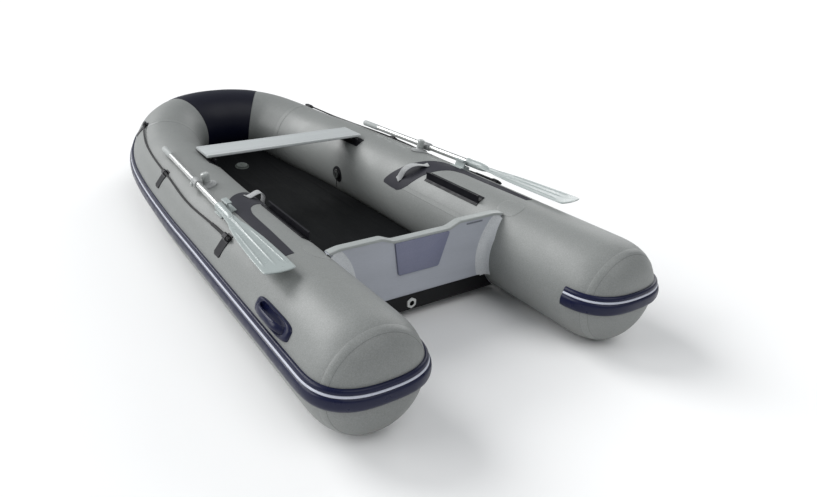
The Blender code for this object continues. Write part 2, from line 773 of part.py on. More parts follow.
def strap_handle(word, side):
    """Webbing loop over the inboard shoulder of the tube, sewn down at both ends."""
    look = material("strap_light_grey", (0.45, 0.46, 0.46), 0.6)
    route = ((106.0, 1.208), (110.0, 1.214), (114.0, 1.221), (120.0, 1.233), (126.0, 1.25),
             (133.0, 1.268), (139.0, 1.283), (143.0, 1.293), (147.0, 1.301))
    lifts = (0.0055, 0.0060, 0.0150, 0.0290, 0.0350, 0.0300, 0.0160, 0.0085, 0.0075)
    half_width, half_thick = 0.019, 0.0012
    centres = []
    for (angle, station), lift in zip(route, lifts):
        centres.append(TUBE.point(TUBE.at_station(station), angle, TUBE_RADIUS + lift, side))
    rings = []
    across = Vector((0.0, 1.0, 0.0))
    for i, centre in enumerate(centres):
        run = (centres[min(i + 1, len(centres) - 1)] - centres[max(i - 1, 0)]).normalized()
        wide = (across - run * across.dot(run)).normalized()
        thick = run.cross(wide).normalized()
        rings.append([
            centre + a * half_width * wide + b * half_thick * thick
            for a, b in ((-1, -1), (1, -1), (1, 1), (-1, 1))
        ])
    loft(f"strap_handle_{word}", rings, look, smooth=False)


def chafe_patch(word, side):
    """Dark patch under the strap handle, which bends aft along the tube's top as a band."""
    look = material("chafe_charcoal", CHARCOAL, 0.7)
    outer = (
        (0.602, 78.0), (0.80, 77.0), (1.00, 76.5), (1.12, 77.0), (1.17, 80.0), (1.21, 86.0),
        (1.245, 96.0), (1.29, 112.0), (1.345, 132.0), (1.385, 146.0), (1.405, 155.0), (1.40, 159.0),
    )
    inner = (
        (1.33, 160.5), (1.27, 160.0), (1.225, 152.0), (1.19, 138.0), (1.155, 122.0),
        (1.115, 107.0), (1.075, 97.0), (1.03, 92.5), (0.98, 90.5), (0.80, 89.5), (0.602, 87.5),
    )
    outline = [(TUBE.at_station(y), a) for y, a in outer + inner]
    applied(f"chafe_patch_{word}", look, side, outline, 0.0006, 0.0020)


HOLDER_PLACES = (("forward", 0.60, 55.0), ("middle", None, 50.0), ("aft", None, 50.0))
HOLDER_STATIONS = {"middle": 1.795, "aft": 0.93}
ROPE_RADIUS = 0.0045
ROPE_LIFT = 0.0125


def holder_s(place, s):
    return TUBE.at_station(HOLDER_STATIONS[place]) if s is None else s


def rope_holder(name, side, s, angle):
    """Moulded eye on a glued plate, which carries the rope along the hull's shoulder."""
    look = material("holder_black", BLACK, 0.5)
    corners = (
        (0.028, -20.0), (0.021, -22.5), (-0.021, -22.5), (-0.028, -20.0), (-0.028, 2.0),
        (-0.020, 5.0), (0.020, 5.0), (0.028, 2.0),
    )
    outline = [(s + ds, angle + a) for ds, a in corners]
    plate = applied(name, look, side, outline, 0.0008, 0.0048)
    section = (
        (-3.4, 0.0022), (-3.2, 0.017), (-1.8, 0.0220), (1.8, 0.0220), (3.2, 0.017), (3.4, 0.0022),
    )
    rings = [
        [TUBE.point(s + ds, angle + a, TUBE_RADIUS + lift, side) for a, lift in section]
        for ds in (-0.016, 0.016)
    ]
    join_on(plate, loft(f"{name}_lug", rings, look, smooth=False))
    ends = [TUBE.point(s + ds, angle, TUBE_RADIUS + ROPE_LIFT, side) for ds in (-0.03, 0.03)]
    cut(plate, rod(f"{name}_eye", *ends, ROPE_RADIUS + 0.0014, look, 12))


def rope_holders():
    for word, side in SIDES:
        for place, s_given, angle in HOLDER_PLACES:
            rope_holder(f"rope_holder_{place}_{word}", side, holder_s(place, s_given), angle)


def grab_line(word, side):
    """Rope threaded through the three holders of one side, sagging a little between them."""
    look = material("rope_black", (0.02, 0.02, 0.022), 0.8)
    places = [(holder_s(p, s), a) for p, s, a in HOLDER_PLACES]
    points = [TUBE.point(places[0][0] - 0.035, places[0][1], TUBE_RADIUS + ROPE_LIFT, side)]
    for (s0, a0), (s1, a1) in zip(places, places[1:]):
        spans = 19
        for k in range(spans):
            t = k / spans
            droop = math.sin(math.pi * t) ** 2
            angle = a0 + (a1 - a0) * t - 5.0 * droop
            radius = TUBE_RADIUS + ROPE_LIFT - 0.004 * droop
            points.append(TUBE.point(s0 + (s1 - s0) * t, angle, radius, side))
    for ds in (0.0, 0.035):
        points.append(TUBE.point(places[-1][0] + ds, places[-1][1], TUBE_RADIUS + ROPE_LIFT, side))
    curve = bpy.data.curves.new(f"grab_line_{word}", "CURVE")
    curve.dimensions = "3D"
    curve.bevel_depth = ROPE_RADIUS
    curve.bevel_resolution = 2
    curve.use_fill_caps = True
    spline = curve.splines.new("POLY")
    spline.points.add(len(points) - 1)
    for slot, p in zip(spline.points, points):
        slot.co = (*p, 1.0)
    obj = bpy.data.objects.new(f"grab_line_{word}", curve)
    bpy.context.collection.objects.link(obj)
    curve.materials.append(look)


# ---------------------------------------------------------------- oars

def lock_axes(side):
    """Seat on the tube, upright axis, outboard direction and the pin's centre in the shaft."""
    s = TUBE.at_station(LOCK_STATION)
    seat_point = TUBE.point(s, LOCK_ANGLE, TUBE_RADIUS, side)
    upright = TUBE.normal(s, LOCK_ANGLE, side)
    outward = Vector((0, 1, 0)).cross(upright).normalized()
    outward = outward if outward.x * side > 0 else -outward
    pin = seat_point + PIN_HEIGHT * upright + SHAFT_OFFSET * outward
    return seat_point, upright, outward, pin


def oar_points(side):
    """Pin centre and forward direction of the oar, then its grip end, neck and blade end."""
    pin = lock_axes(side)[3]
    run = Vector((side * OAR_LEAN, 1.0, OAR_SLOPE)).normalized()
    stations = (GRIP_STATION, NECK_STATION, BLADE_STATION)
    return pin, run, *(pin + run * ((y - pin.y) / run.y) for y in stations)


def oar(word, side):
    seat_point, upright, outward, pin = lock_axes(side)
    oarlock(word, seat_point, upright, outward)
    pin, run, grip_end, neck, tip = oar_points(side)
    shaft_look = material("oar_shaft_aluminium", ALUMINIUM, 0.25, 1.0)
    forward = grip_end - run * 0.03
    aft = neck - run * 0.10
    place = frame_at(aft, run, outward)
    length = (forward - aft).length
    shaft = turned(f"oar_shaft_{word}", [
        (SHAFT_RADIUS - 0.0015, 0.0), (SHAFT_RADIUS - 0.0015, length),
        (SHAFT_RADIUS, length), (SHAFT_RADIUS, 0.0),
    ], shaft_look, 16, place)
    collar = turned(f"oar_collar_{word}", [
        (SHAFT_RADIUS - 0.0007, -0.032), (SHAFT_RADIUS - 0.0007, 0.032), (0.0180, 0.032),
        (0.0205, 0.026), (0.0205, -0.026), (0.0180, -0.032),
    ], shaft_look, 16, frame_at(pin, run, outward))
    join_on(shaft, collar)
    bore_ends = pin - 0.04 * outward, pin + 0.04 * outward
    cut(shaft, rod(f"oar_bore_{word}", *bore_ends, 0.0066, shaft_look, 12))
    grip_place = frame_at(grip_end, -run, outward)
    turned(f"oar_grip_{word}", [
        (SHAFT_RADIUS + GAP, GRIP_LENGTH), (SHAFT_RADIUS + GAP, 0.028), (0.006, 0.028), (0.006, 0.0),
        (0.0150, 0.0), (0.0172, 0.004), (0.0172, 0.030), (0.0165, 0.045), (0.0165, GRIP_LENGTH),
    ], material("grip_grey", (0.30, 0.32, 0.32), 0.55), 16, grip_place)
    blade(word, neck, run, tip, outward)
    keeper(word, side)
    pieces = [f"oar_shaft_{word}", f"oar_grip_{word}", f"oar_blade_{word}"]
    pivot(f"oar_pivot_{word}", frame_at(pin, outward, run), pieces)


def blade(word, neck, run, tip, outward):
    """Flat blade with three ribs, on a socket that holds the shaft's end."""
    name = f"oar_blade_{word}"
    look = material("oar_plastic", LIGHT_PLASTIC, 0.35)
    wide = Vector((1, 0, 0)) - run * run.x
    place = frame_at(neck, wide.cross(-run), wide)
    length = (neck - tip).length
    rows = (
        (0.09, 0.0215), (0.19, 0.0275), (0.225, 0.036), (0.29, 0.044), (0.36, 0.051),
        (0.435, 0.0545), (0.52, 0.0575), (length - 0.025, 0.0595), (length - 0.006, 0.0565),
        (length, 0.048),
    )
    rings = [
        [(-half, y, -0.0035), (half, y, -0.0035), (half, y, 0.0035), (-half, y, 0.0035)]
        for y, half in rows
    ]
    plate = loft(name, rings, look, smooth=False)
    plate.matrix_world = place
    along = frame_at(neck, -run, outward)
    socket_profile = [(0.0195, -0.002), (0.0195, 0.105), (0.0125, 0.135)]
    socket = lathe(f"blade_socket_{word}", socket_profile, look, 16, along)
    bore_profile = [(SHAFT_RADIUS + GAP, -0.02), (SHAFT_RADIUS + GAP, 0.1012)]
    bore = lathe(f"socket_bore_{word}", bore_profile, look, 16, along)
    join_on(plate, socket)
    cut(plate, bore)
    ribs = (((-0.0290, 0.29), (-0.0395, 0.59), 0.0062), ((0.0, 0.12), (0.0, 0.58), 0.0095),
            ((0.0290, 0.29), (0.0395, 0.59), 0.0062))
    for k, (start, stop, height) in enumerate(ribs):
        rings = [[(x - 0.003, y, -h), (x + 0.003, y, -h), (x + 0.003, y, h), (x - 0.003, y, h)]
                 for (x, y), h in ((start, height), (stop, 0.0058))]
        rib = loft(f"blade_rib_{word}_{k}", rings, look, smooth=False)
        rib.matrix_world = place
        join_on(plate, rib)


def oarlock(word, seat_point, upright, outward):
    base_look = material("lock_base_grey", (0.38, 0.40, 0.39), 0.5)
    head_look = material("lock_head_grey", (0.27, 0.29, 0.29), 0.3)
    place = frame_at(seat_point, upright, outward)
    turned(f"oarlock_base_{word}", [
        (0.0075, 0.0025), (0.0075, 0.0200), (0.0170, 0.0200), (0.0220, 0.0100),
        (0.0400, 0.0070), (0.0430, 0.0045), (0.0430, 0.0008), (0.0150, 0.0008),
    ], base_look, 20, place)
    head = lathe(f"oarlock_head_{word}", [
        (0.0068, 0.0040), (0.0068, 0.0204), (0.0185, 0.0204), (0.0190, 0.0560),
        (0.0165, 0.0610), (0.0090, 0.0630),
    ], head_look, 20, place)
    height = seat_point + PIN_HEIGHT * upright
    join_on(head, lathe(f"oar_pin_{word}", [
        (0.0060, 0.0120), (0.0060, 0.0660), (0.0095, 0.0662), (0.0095, 0.0720), (0.0070, 0.0745),
    ], head_look, 12, frame_at(height, outward, upright)))


def keeper(word, side):
    """Bracket on the tube: a saddle under the stowed oar's neck, and an arm on its inboard side."""
    look = material("keeper_plastic", (0.42, 0.44, 0.44), 0.4)
    fore, aft = TUBE.at_station(1.155), TUBE.at_station(1.075)
    outline = [(fore, 60.0), (aft, 60.0), (aft, 80.0), (fore, 80.0)]
    foot = applied(f"oar_keeper_{word}", look, side, outline, 0.0024, 0.0064)
    saddle = (
        (62.5, 0.0040), (62.5, 0.0160), (64.0, 0.0186), (68.5, 0.0186), (70.0, 0.0160),
        (70.0, 0.0040),
    )
    arm = (
        (71.8, 0.0040), (71.8, 0.0400), (73.0, 0.0430), (77.5, 0.0400), (77.5, 0.0360),
        (73.5, 0.0380), (73.5, 0.0040),
    )
    for word_piece, section in (("saddle", saddle), ("arm", arm)):
        rings = [[TUBE.point(s, a, TUBE_RADIUS + lift, side) for a, lift in section]
                 for s in (fore + 0.008, aft - 0.008)]
        join_on(foot, loft(f"keeper_{word_piece}_{word}", rings, look, smooth=False))


# ---------------------------------------------------------------- build

def build():
    clear_scene()
    hull_skins()
    for word, side in SIDES:
        baffle(word, side)
        strake(word, side)
    air_floor()
    bottom_fabric()
    transom()
    drain()
    valves()
    seat()
    for word, side in SIDES:
        lifting_handle(word, side)
        strap_handle(word, side)
        chafe_patch(word, side)
        grab_line(word, side)
        oar(word, side)
    rope_holders()
    shift = Matrix.Translation((0.0, -MIDSHIP, 0.0))
    for obj in bpy.data.objects:
        if obj.parent is None:
            obj.matrix_world = shift @ obj.matrix_world


build()
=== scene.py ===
"""Inflatable dinghy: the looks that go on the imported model.

Places along the boat are stations, measured forward from the aft end of the tubes, and a distance
s runs along a tube's centre line from the stem. piece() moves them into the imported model's frame,
where +Y is the bow, +X starboard and the origin lies under the middle. Lengths are metres.
"""

import json
from math import (
    ceil, copysign, cos, degrees, exp, hypot, pi,
    radians, sin, sqrt, tau,
)

import bmesh
import bpy
import numpy as np
from mathutils import Matrix, Vector

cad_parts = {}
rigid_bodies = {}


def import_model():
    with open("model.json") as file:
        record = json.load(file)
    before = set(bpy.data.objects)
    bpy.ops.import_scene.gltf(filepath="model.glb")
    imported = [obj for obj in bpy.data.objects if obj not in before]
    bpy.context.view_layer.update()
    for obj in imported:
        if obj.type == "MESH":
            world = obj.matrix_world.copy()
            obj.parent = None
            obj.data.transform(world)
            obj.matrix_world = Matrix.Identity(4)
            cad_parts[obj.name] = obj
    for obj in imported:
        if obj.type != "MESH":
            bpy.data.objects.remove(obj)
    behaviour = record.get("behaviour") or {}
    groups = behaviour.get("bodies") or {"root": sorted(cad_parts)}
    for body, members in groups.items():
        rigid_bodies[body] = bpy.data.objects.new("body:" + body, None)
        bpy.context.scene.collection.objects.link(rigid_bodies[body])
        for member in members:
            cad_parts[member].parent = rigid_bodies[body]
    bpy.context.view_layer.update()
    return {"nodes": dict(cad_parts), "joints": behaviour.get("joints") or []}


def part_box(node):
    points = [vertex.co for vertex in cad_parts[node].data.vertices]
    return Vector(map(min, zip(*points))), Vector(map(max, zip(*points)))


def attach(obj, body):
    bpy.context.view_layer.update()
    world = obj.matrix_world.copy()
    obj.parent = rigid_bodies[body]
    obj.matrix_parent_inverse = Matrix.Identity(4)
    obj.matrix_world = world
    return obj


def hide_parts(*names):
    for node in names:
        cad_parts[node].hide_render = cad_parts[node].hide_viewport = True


for startup in list(bpy.data.objects):
    bpy.data.objects.remove(startup, do_unlink=True)
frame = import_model()

# Hull
TUBE_RADIUS = 0.21
SKIN = 0.003
MIDSHIP = 1.5775
CENTRE_LINE = (
    (0.0, 2.945), (0.12, 2.94), (0.24, 2.905), (0.335, 2.825), (0.40, 2.715),
    (0.455, 2.57), (0.49, 2.42), (0.517, 2.23), (0.54, 1.93), (0.554, 1.50), (0.554, 1.20),
)
HALF_SPACING = 0.554
BOW_RISE = 0.088
RISE_LENGTH = 0.90
TAIL_DEPTH = 0.19
TAIL_ROUNDNESS = 2.77
TUBE_SIDES = 96
ARC = degrees(1.0 / TUBE_RADIUS)  # degrees round the section for each metre
BOW_SEAM = 0.25
SHOULDER_SEAM = 0.62
SIDE_SEAM_ANGLE = 152.5
TAIL_SEAM_TURNS = (26.8, 36.2)
TAPE_LIFT = 0.0007
TUCK = -0.0004  # a glued edge dips just under the skin

# Floor and stern
FLOOR_TOP = 0.100
FLOOR_THICKNESS = 0.044
FLOOR_AFT = 0.70
TRANSOM_AFT = 0.596
TRANSOM_THICKNESS = 0.030
TRANSOM_TOP = 0.3945
NOTCH_TOP = 0.3725
NOTCH_HALF = 0.136
NOTCH_SLOPE = 0.054
SHOULDER_X = 0.378
SHOULDER_END = 0.432
SHOULDER_DROP = 0.010
DRAIN_X = -0.031
DRAIN_Z = 0.0735

# Oars
LOCK_STATION = 1.422
LOCK_ANGLE = 79.0
PIN_HEIGHT = 0.0294
SHAFT_OFFSET = 0.0447
SHAFT_RADIUS = 0.0145
OAR_LEAN = -0.0389
OAR_SLOPE = -0.0053
GRIP_STATION = 2.012
NECK_STATION = 1.100
BLADE_STATION = 0.455
GRIP_LENGTH = 0.14
GRIP_OVERLAP = 0.03
SOCKET_DEPTH = 0.10

# Valves
VALVE_STATION = 1.857
VALVE_ANGLE = 184.0

# Colours as linear RGB
HULL_GREY = (0.205, 0.214, 0.209)
BLACK = (0.005, 0.005, 0.006)

SIDES = (("port", -1), ("starboard", 1))


# ---- Materials

class Look:
    """Principled material with procedural layers of colour, roughness and relief."""

    def __init__(self, name, colour, roughness, metallic=0.0, by_uv=False, stretch=(1.0, 1.0, 1.0)):
        self.material = bpy.data.materials.new(name)
        self.material.use_nodes = True
        self.nodes = self.material.node_tree.nodes
        self.shader = self.nodes["Principled BSDF"]
        self.shader.inputs["Metallic"].default_value = metallic
        self.shader.inputs["Roughness"].default_value = roughness
        self.base = colour
        self.colour = (*colour, 1.0)
        self.roughness = roughness
        self.normal = None
        start = self.add("TexCoord", "UV" if by_uv else "Object")
        self.place = self.add("Mapping", "Vector", Scale=stretch, Vector=start)

    def put(self, socket, value):
        if isinstance(value, bpy.types.NodeSocket):
            self.material.node_tree.links.new(value, socket)
        else:
            socket.default_value = value

    def add(self, kind, output, **inputs):
        """Adds a node, fills its inputs by their underscored names and returns one output."""
        node = self.nodes.new(f"ShaderNode{kind}")
        for name, value in inputs.items():
            self.put(node.inputs[name.replace("_", " ")], value)
        return node.outputs[output]

    def noise(self, scale, detail=3.0, roughness=0.5):
        return self.add("TexNoise", "Fac", Vector=self.place, Scale=scale, Detail=detail,
                        Roughness=roughness)

    def cells(self, scale):
        return self.add("TexVoronoi", "Distance", Vector=self.place, Scale=scale)

    def waves(self, scale, direction, distortion=0.0):
        bands = self.add("TexWave", "Fac", Vector=self.place, Scale=scale, Distortion=distortion)
        bands.node.bands_direction = direction
        return bands

    def height(self, low, high):
        """0 below the height low and 1 above the height high."""
        return self.ranged(self.add("SeparateXYZ", "Z", Vector=self.place), 0.0, 1.0, low, high)

    def ranged(self, value, low, high, start=0.3, stop=0.7):
        return self.add("MapRange", "Result", Value=value, From_Min=start, From_Max=stop,
                        To_Min=low, To_Max=high)

    def sum(self, first, second, operation="ADD"):
        node = self.nodes.new("ShaderNodeMath")
        node.operation = operation
        self.put(node.inputs[0], first)
        self.put(node.inputs[1], second)
        return node.outputs["Value"]

    def paint(self, amount, colour):
        """Lays a colour over what is there, by a varying amount."""
        mix = self.nodes.new("ShaderNodeMix")
        mix.data_type = "RGBA"
        self.put(mix.inputs["Factor"], amount)
        self.put(mix.inputs[6], self.colour)
        self.put(mix.inputs[7], (*colour, 1.0))
        self.colour = mix.outputs[2]
        return self

    def vary(self, scale, share, detail=3.0):
        """Lightens and darkens the colour by a share, in patches of 1 / scale."""
        fac = self.noise(scale, detail)
        darker = tuple(0.25 * c for c in self.base)
        lighter = tuple(min(1.0, 1.9 * c + 0.002) for c in self.base)
        self.paint(self.ranged(fac, share, 0.0, 0.25, 0.5), darker)
        return self.paint(self.ranged(fac, 0.0, share, 0.5, 0.75), lighter)

    def gloss(self, scale, spread, detail=4.0):
        low, high = max(self.roughness - spread, 0.03), min(self.roughness + spread, 1.0)
        varied = self.ranged(self.noise(scale, detail), low, high)
        self.put(self.shader.inputs["Roughness"], varied)
        return self

    def relief(self, height, depth, strength=1.0):
        under = {} if self.normal is None else {"Normal": self.normal}
        self.normal = self.add("Bump", "Normal", Distance=depth, Strength=strength, Height=height,
                               **under)
        return self

    def done(self, **sockets):
        """Joins the layers to the shader; sockets hold whole-surface values."""
        self.put(self.shader.inputs["Base Color"], self.colour)
        if self.normal is not None:
            self.put(self.shader.inputs["Normal"], self.normal)
        for name, value in sockets.items():
            self.shader.inputs[name.replace("_", " ")].default_value = value
        return self.material


def coated_fabric(name, colour, roughness, coat=0.12, soil=0.0, reflection=0.5):
    """Calendered boat fabric: a fine cloth grain under a smooth coat, with slow tonal drift."""
    look = Look(name, colour, roughness)
    look.vary(1.6, 0.07).vary(24.0, 0.02).vary(210.0, 0.13, 2.0).vary(420.0, 0.14, 2.0)
    look.gloss(5.0, 0.07)
    if soil:
        streaks = look.sum(look.ranged(look.noise(9.0, 6.0), 0.0, 1.0, 0.45, 0.8), soil, "MULTIPLY")
        low_down = look.sum(1.0, look.height(0.02, 0.16), "SUBTRACT")
        look.paint(look.sum(streaks, low_down, "MULTIPLY"), (0.16, 0.145, 0.12))
    look.relief(look.noise(4.0, 2.0), 0.004, 0.25)
    look.relief(look.noise(620.0, 2.0), 0.00025, 0.55)
    return look.done(Coat_Weight=coat, Coat_Roughness=0.30, Specular_IOR_Level=reflection)


def moulded(name, colour, roughness, grain=0.35, coat=0.0, reflection=0.5):
    """Moulded plastic or rubber: fine spark texture, scuffs and a slightly uneven gloss."""
    look = Look(name, colour, roughness)
    look.vary(6.0, 0.06).vary(240.0, 0.08, 2.0).gloss(22.0, 0.09)
    # Lighter scuffs: wear on the moulded surface.
    scuffs_and_sheen_streaks = look.ranged(look.noise(130.0, 8.0, 0.75), 0.0, 0.16, 0.60, 0.74)
    look.paint(scuffs_and_sheen_streaks, tuple(min(1.0, 2.2 * c + 0.008) for c in colour))
    look.relief(look.noise(900.0, 2.0), 0.00012, grain)
    return look.done(Coat_Weight=coat, Specular_IOR_Level=reflection)


def painted_board(name, colour, roughness):
    """Rolled paint on plywood: a faint orange-peel and the ghost of the grain."""
    look = Look(name, colour, roughness, stretch=(1.0, 6.0, 9.0))
    look.vary(2.4, 0.06).vary(46.0, 0.05, 5.0).gloss(9.0, 0.06)
    look.relief(look.noise(26.0, 6.0), 0.0004, 0.25)
    look.relief(look.noise(420.0, 2.0), 0.0002, 0.45)
    return look.done()


def drawn_metal(name, colour, roughness):
    """Anodised tube: long drawing lines along it and a few handling marks."""
    look = Look(name, colour, roughness, 1.0, by_uv=True, stretch=(240.0, 3.0, 1.0))
    look.vary(4.0, 0.10, 5.0).gloss(3.0, 0.07)
    look.relief(look.noise(6.0, 3.0), 0.00012, 0.35)
    return look.done()


def webbing(name, colour):
    """Woven strap: ribs across it and warp along it."""
    look = Look(name, colour, 0.75, by_uv=True)
    look.vary(120.0, 0.12)
    look.relief(look.waves(105.0, "X"), 0.0005, 0.7)
    look.relief(look.waves(160.0, "Y", 0.4), 0.0005, 0.7)
    return look.done(Sheen_Weight=0.3)


def laid_rope(name, colour):
    """Black laid rope: strands across it and a dull, uneven dye."""
    look = Look(name, colour, 0.7, by_uv=True)
    look.vary(260.0, 0.35).relief(look.waves(330.0, "DIAGONAL"), 0.0004, 0.9)
    return look.done(Sheen_Weight=0.05)


def floor_cloth(name, colour):
    """Non-slip floor covering: pressed cells, painted reflection streaks along the boat and a dull
    sheen.
    """
    look = Look(name, colour, 0.50, stretch=(1.0, 0.32, 1.0))
    # Lighter streaks stretched along the boat: painted reflection on the floor.
    scuffs_and_sheen_streaks = look.ranged(look.noise(10.0, 9.0, 0.68), 0.0, 0.30, 0.53, 0.72)
    look.vary(2.6, 0.22).paint(scuffs_and_sheen_streaks, (0.016, 0.017, 0.018)).gloss(6.0, 0.12)
    look.relief(look.cells(210.0), 0.0004, 0.5)
    return look.done(Specular_IOR_Level=0.08)


HULL = coated_fabric("hull_fabric_look", HULL_GREY, 0.52, coat=0.10, soil=0.35)
TAPE = coated_fabric("seam_tape_look", tuple(1.04 * c for c in HULL_GREY), 0.48, coat=0.12)
# Darker grey on the sloped edges of tapes and patches: painted shade along each tape's edge step.
TAPE_EDGE_SHADE = coated_fabric("tape_edge_shade_look", tuple(0.74 * c for c in HULL_GREY), 0.6)
NAVY_FABRIC = coated_fabric("navy_fabric_look", (0.003, 0.0035, 0.013), 0.40, 0.0, reflection=0.25)
BOTTOM = coated_fabric("bottom_look", BLACK, 0.45, coat=0.0, reflection=0.2)
CHAFE = coated_fabric("chafe_look", (0.020, 0.020, 0.028), 0.62, coat=0.0, reflection=0.3)
NAVY_RUBBER = moulded("navy_rubber_look", (0.005, 0.007, 0.032), 0.34, reflection=0.28)
STRIPE = moulded("white_stripe_look", (0.50, 0.52, 0.60), 0.45)
FLOOR = floor_cloth("floor_look", (0.0045, 0.005, 0.0055))
BOARD = painted_board("board_look", (0.40, 0.42, 0.47), 0.45)
CAP = moulded("cap_look", (0.34, 0.36, 0.355), 0.42)
PAD = moulded("pad_look", (0.19, 0.20, 0.29), 0.50, grain=0.8)
PLATE = moulded("plate_look", (0.16, 0.17, 0.20), 0.35)
FLANGE = coated_fabric("flange_look", (0.56, 0.58, 0.60), 0.45)
SEAT = painted_board("seat_look", (0.45, 0.475, 0.48), 0.42)
SEAT_EDGE = moulded("seat_edge_look", (0.60, 0.63, 0.63), 0.30)
BLACK_RUBBER = moulded("black_rubber_look", (0.006, 0.006, 0.009), 0.48, reflection=0.25)
BLACK_PLASTIC = moulded("black_plastic_look", BLACK, 0.36, reflection=0.25)
CAP_GREY = moulded("valve_cap_look", (0.055, 0.06, 0.058), 0.42, reflection=0.3)
GREY_PLASTIC = moulded("grey_plastic_look", (0.30, 0.31, 0.31), 0.40)
LIGHT_PLASTIC = moulded("light_plastic_look", (0.33, 0.37, 0.365), 0.30, grain=0.15, coat=0.2)
LOCK_PLASTIC = moulded("lock_plastic_look", (0.40, 0.42, 0.41), 0.26, grain=0.2, coat=0.3)
DRAIN = moulded("drain_look", (0.55, 0.56, 0.55), 0.32)
FLOOR_CAP = moulded("floor_cap_look", (0.12, 0.135, 0.125), 0.42)
WHITE_PLASTIC = moulded("white_plastic_look", (0.6, 0.6, 0.6), 0.35)
GRIP = moulded("grip_look", (0.36, 0.38, 0.375), 0.55, grain=0.9)
METAL = drawn_metal("shaft_look", (0.60, 0.61, 0.60), 0.34)
WEBBING = webbing("webbing_look", (0.36, 0.37, 0.375))
ROPE = laid_rope("rope_look", (0.007, 0.007, 0.009))


# ---- Mesh helpers

def placed(name, data):
    """New object in the scene."""
    obj = bpy.data.objects.new(name, data)
    bpy.context.scene.collection.objects.link(obj)
    return obj


def mesh_of(name, bm):
    """Turns a finished bmesh into a mesh."""
    mesh = bpy.data.meshes.new(name)
    bm.to_mesh(mesh)
    bm.free()
    return mesh


def piece(name, mesh, looks, body, replaced=(), smooth=35.0):
    """Makes the visible piece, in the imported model's frame, on its body."""
    mesh.transform(Matrix.Translation((0.0, -MIDSHIP, 0.0)))
    for look in looks:
        mesh.materials.append(look)
    mesh.shade_smooth()
    mesh.set_sharp_from_angle(angle=radians(smooth))
    obj = placed(name, mesh)
    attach(obj, body)
    if replaced:
        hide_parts(*replaced)


def circle(count):
    """Angles evenly round a full turn."""
    return [tau * k / count for k in range(count)]


def mm(*points):
    """Profile points given in millimetres."""
    return [tuple(value / 1000 for value in point) for point in points]


def with_neighbours(line):
    """Each point between the one before and the one after; an end is its own neighbour."""
    return zip([line[0], *line[:-1]], line, [*line[1:], line[-1]])


def skin(name, rows, ring=True, loop=False, caps=False, pick=None):
    """Mesh through rows of points; ring closes each row and loop joins the last row to the first.

    Its UV map is in metres, across the rows and along them. pick(row, column) chooses a look.
    """
    places = np.array([[tuple(p) for p in row] for row in rows])
    if loop:
        places = np.concatenate([places, places[:1]])
    if ring:
        places = np.concatenate([places, places[:, :1]], axis=1)
    along = np.linalg.norm(np.diff(places, axis=0), axis=2).mean(axis=1)
    across = np.linalg.norm(np.diff(places, axis=1), axis=2).mean(axis=0)
    v = np.concatenate([[0.0], np.cumsum(along)])
    u = np.concatenate([[0.0], np.cumsum(across)])
    bm = bmesh.new()
    layer = bm.loops.layers.uv.new("metres")
    grid = [[bm.verts.new(p) for p in row] for row in rows]
    high, wide = len(rows), len(rows[0])
    for i in range(len(v) - 1):
        for j in range(len(u) - 1):
            corners = ((i, j), (i, j + 1), (i + 1, j + 1), (i + 1, j))
            face = bm.faces.new([grid[a % high][b % wide] for a, b in corners])
            if pick:
                face.material_index = pick(i, j)
            for corner, (a, b) in zip(face.loops, corners):
                corner[layer].uv = (u[b], v[a])
    if caps:
        bm.faces.new(grid[0])
        bm.faces.new(grid[-1])
    bmesh.ops.recalc_face_normals(bm, faces=bm.faces)
    return mesh_of(name, bm)


def shell(name, rows, looks, slot, replaced=(), body="hull", smooth=35.0, **how):
    """Piece that is one skin through rows."""
    piece(name, skin(name, rows, **how), looks, body, replaced, smooth)


def frame_at(origin, z_axis, x_hint):
    """Placement whose Z is z_axis and whose X lies as near x_hint as it can."""
    z = Vector(z_axis).normalized()
    x = (Vector(x_hint) - z * z.dot(Vector(x_hint))).normalized()
    place = Matrix((x, z.cross(x), z)).transposed().to_4x4()
    place.translation = Vector(origin)
    return place


def turned(name, profile, place, sides=48, hollow=False):
    """Body of revolution; hollow closes the outline on itself, or else its ends are discs."""
    rows = [[place @ Vector((r * cos(t), r * sin(t), z)) for t in circle(sides)]
            for r, z in profile]
    return skin(name, rows, loop=hollow, caps=not hollow)


def merged(name, meshes):
    """One mesh out of several."""
    bm = bmesh.new()
    for mesh in meshes:
        bm.from_mesh(mesh)
        bpy.data.meshes.remove(mesh)
    return mesh_of(name, bm)


def smooth_line(points, steps):
    """Catmull-Rom curve through the points."""
    knots = [Vector(p) for p in points]
    knots = [2 * knots[0] - knots[1], *knots, 2 * knots[-1] - knots[-2]]
    line = []
    for p0, p1, p2, p3 in zip(knots, knots[1:], knots[2:], knots[3:]):
        for k in range(steps):
            t = k / steps
            line.append(0.5 * (2 * p1 + (p2 - p0) * t
                               + (2 * p0 - 5 * p1 + 4 * p2 - p3) * t ** 2
                               + (3 * p1 - p0 - 3 * p2 + p3) * t ** 3))
    return [*line, knots[-2]]


def rounded(outline, radius, steps=6):
    """Outline with its corners turned into arcs."""
    corners = [Vector(p) for p in outline]
    points = []
    for i, corner in enumerate(corners):
        before = (corners[i - 1] - corner).normalized() * radius
        after = (corners[(i + 1) % len(corners)] - corner).normalized() * radius
        for k in range(steps + 1):
            t = k / steps
            points.append(corner + (1 - t) ** 2 * before + t ** 2 * after)
    return points


# ---- The tubes' geometry

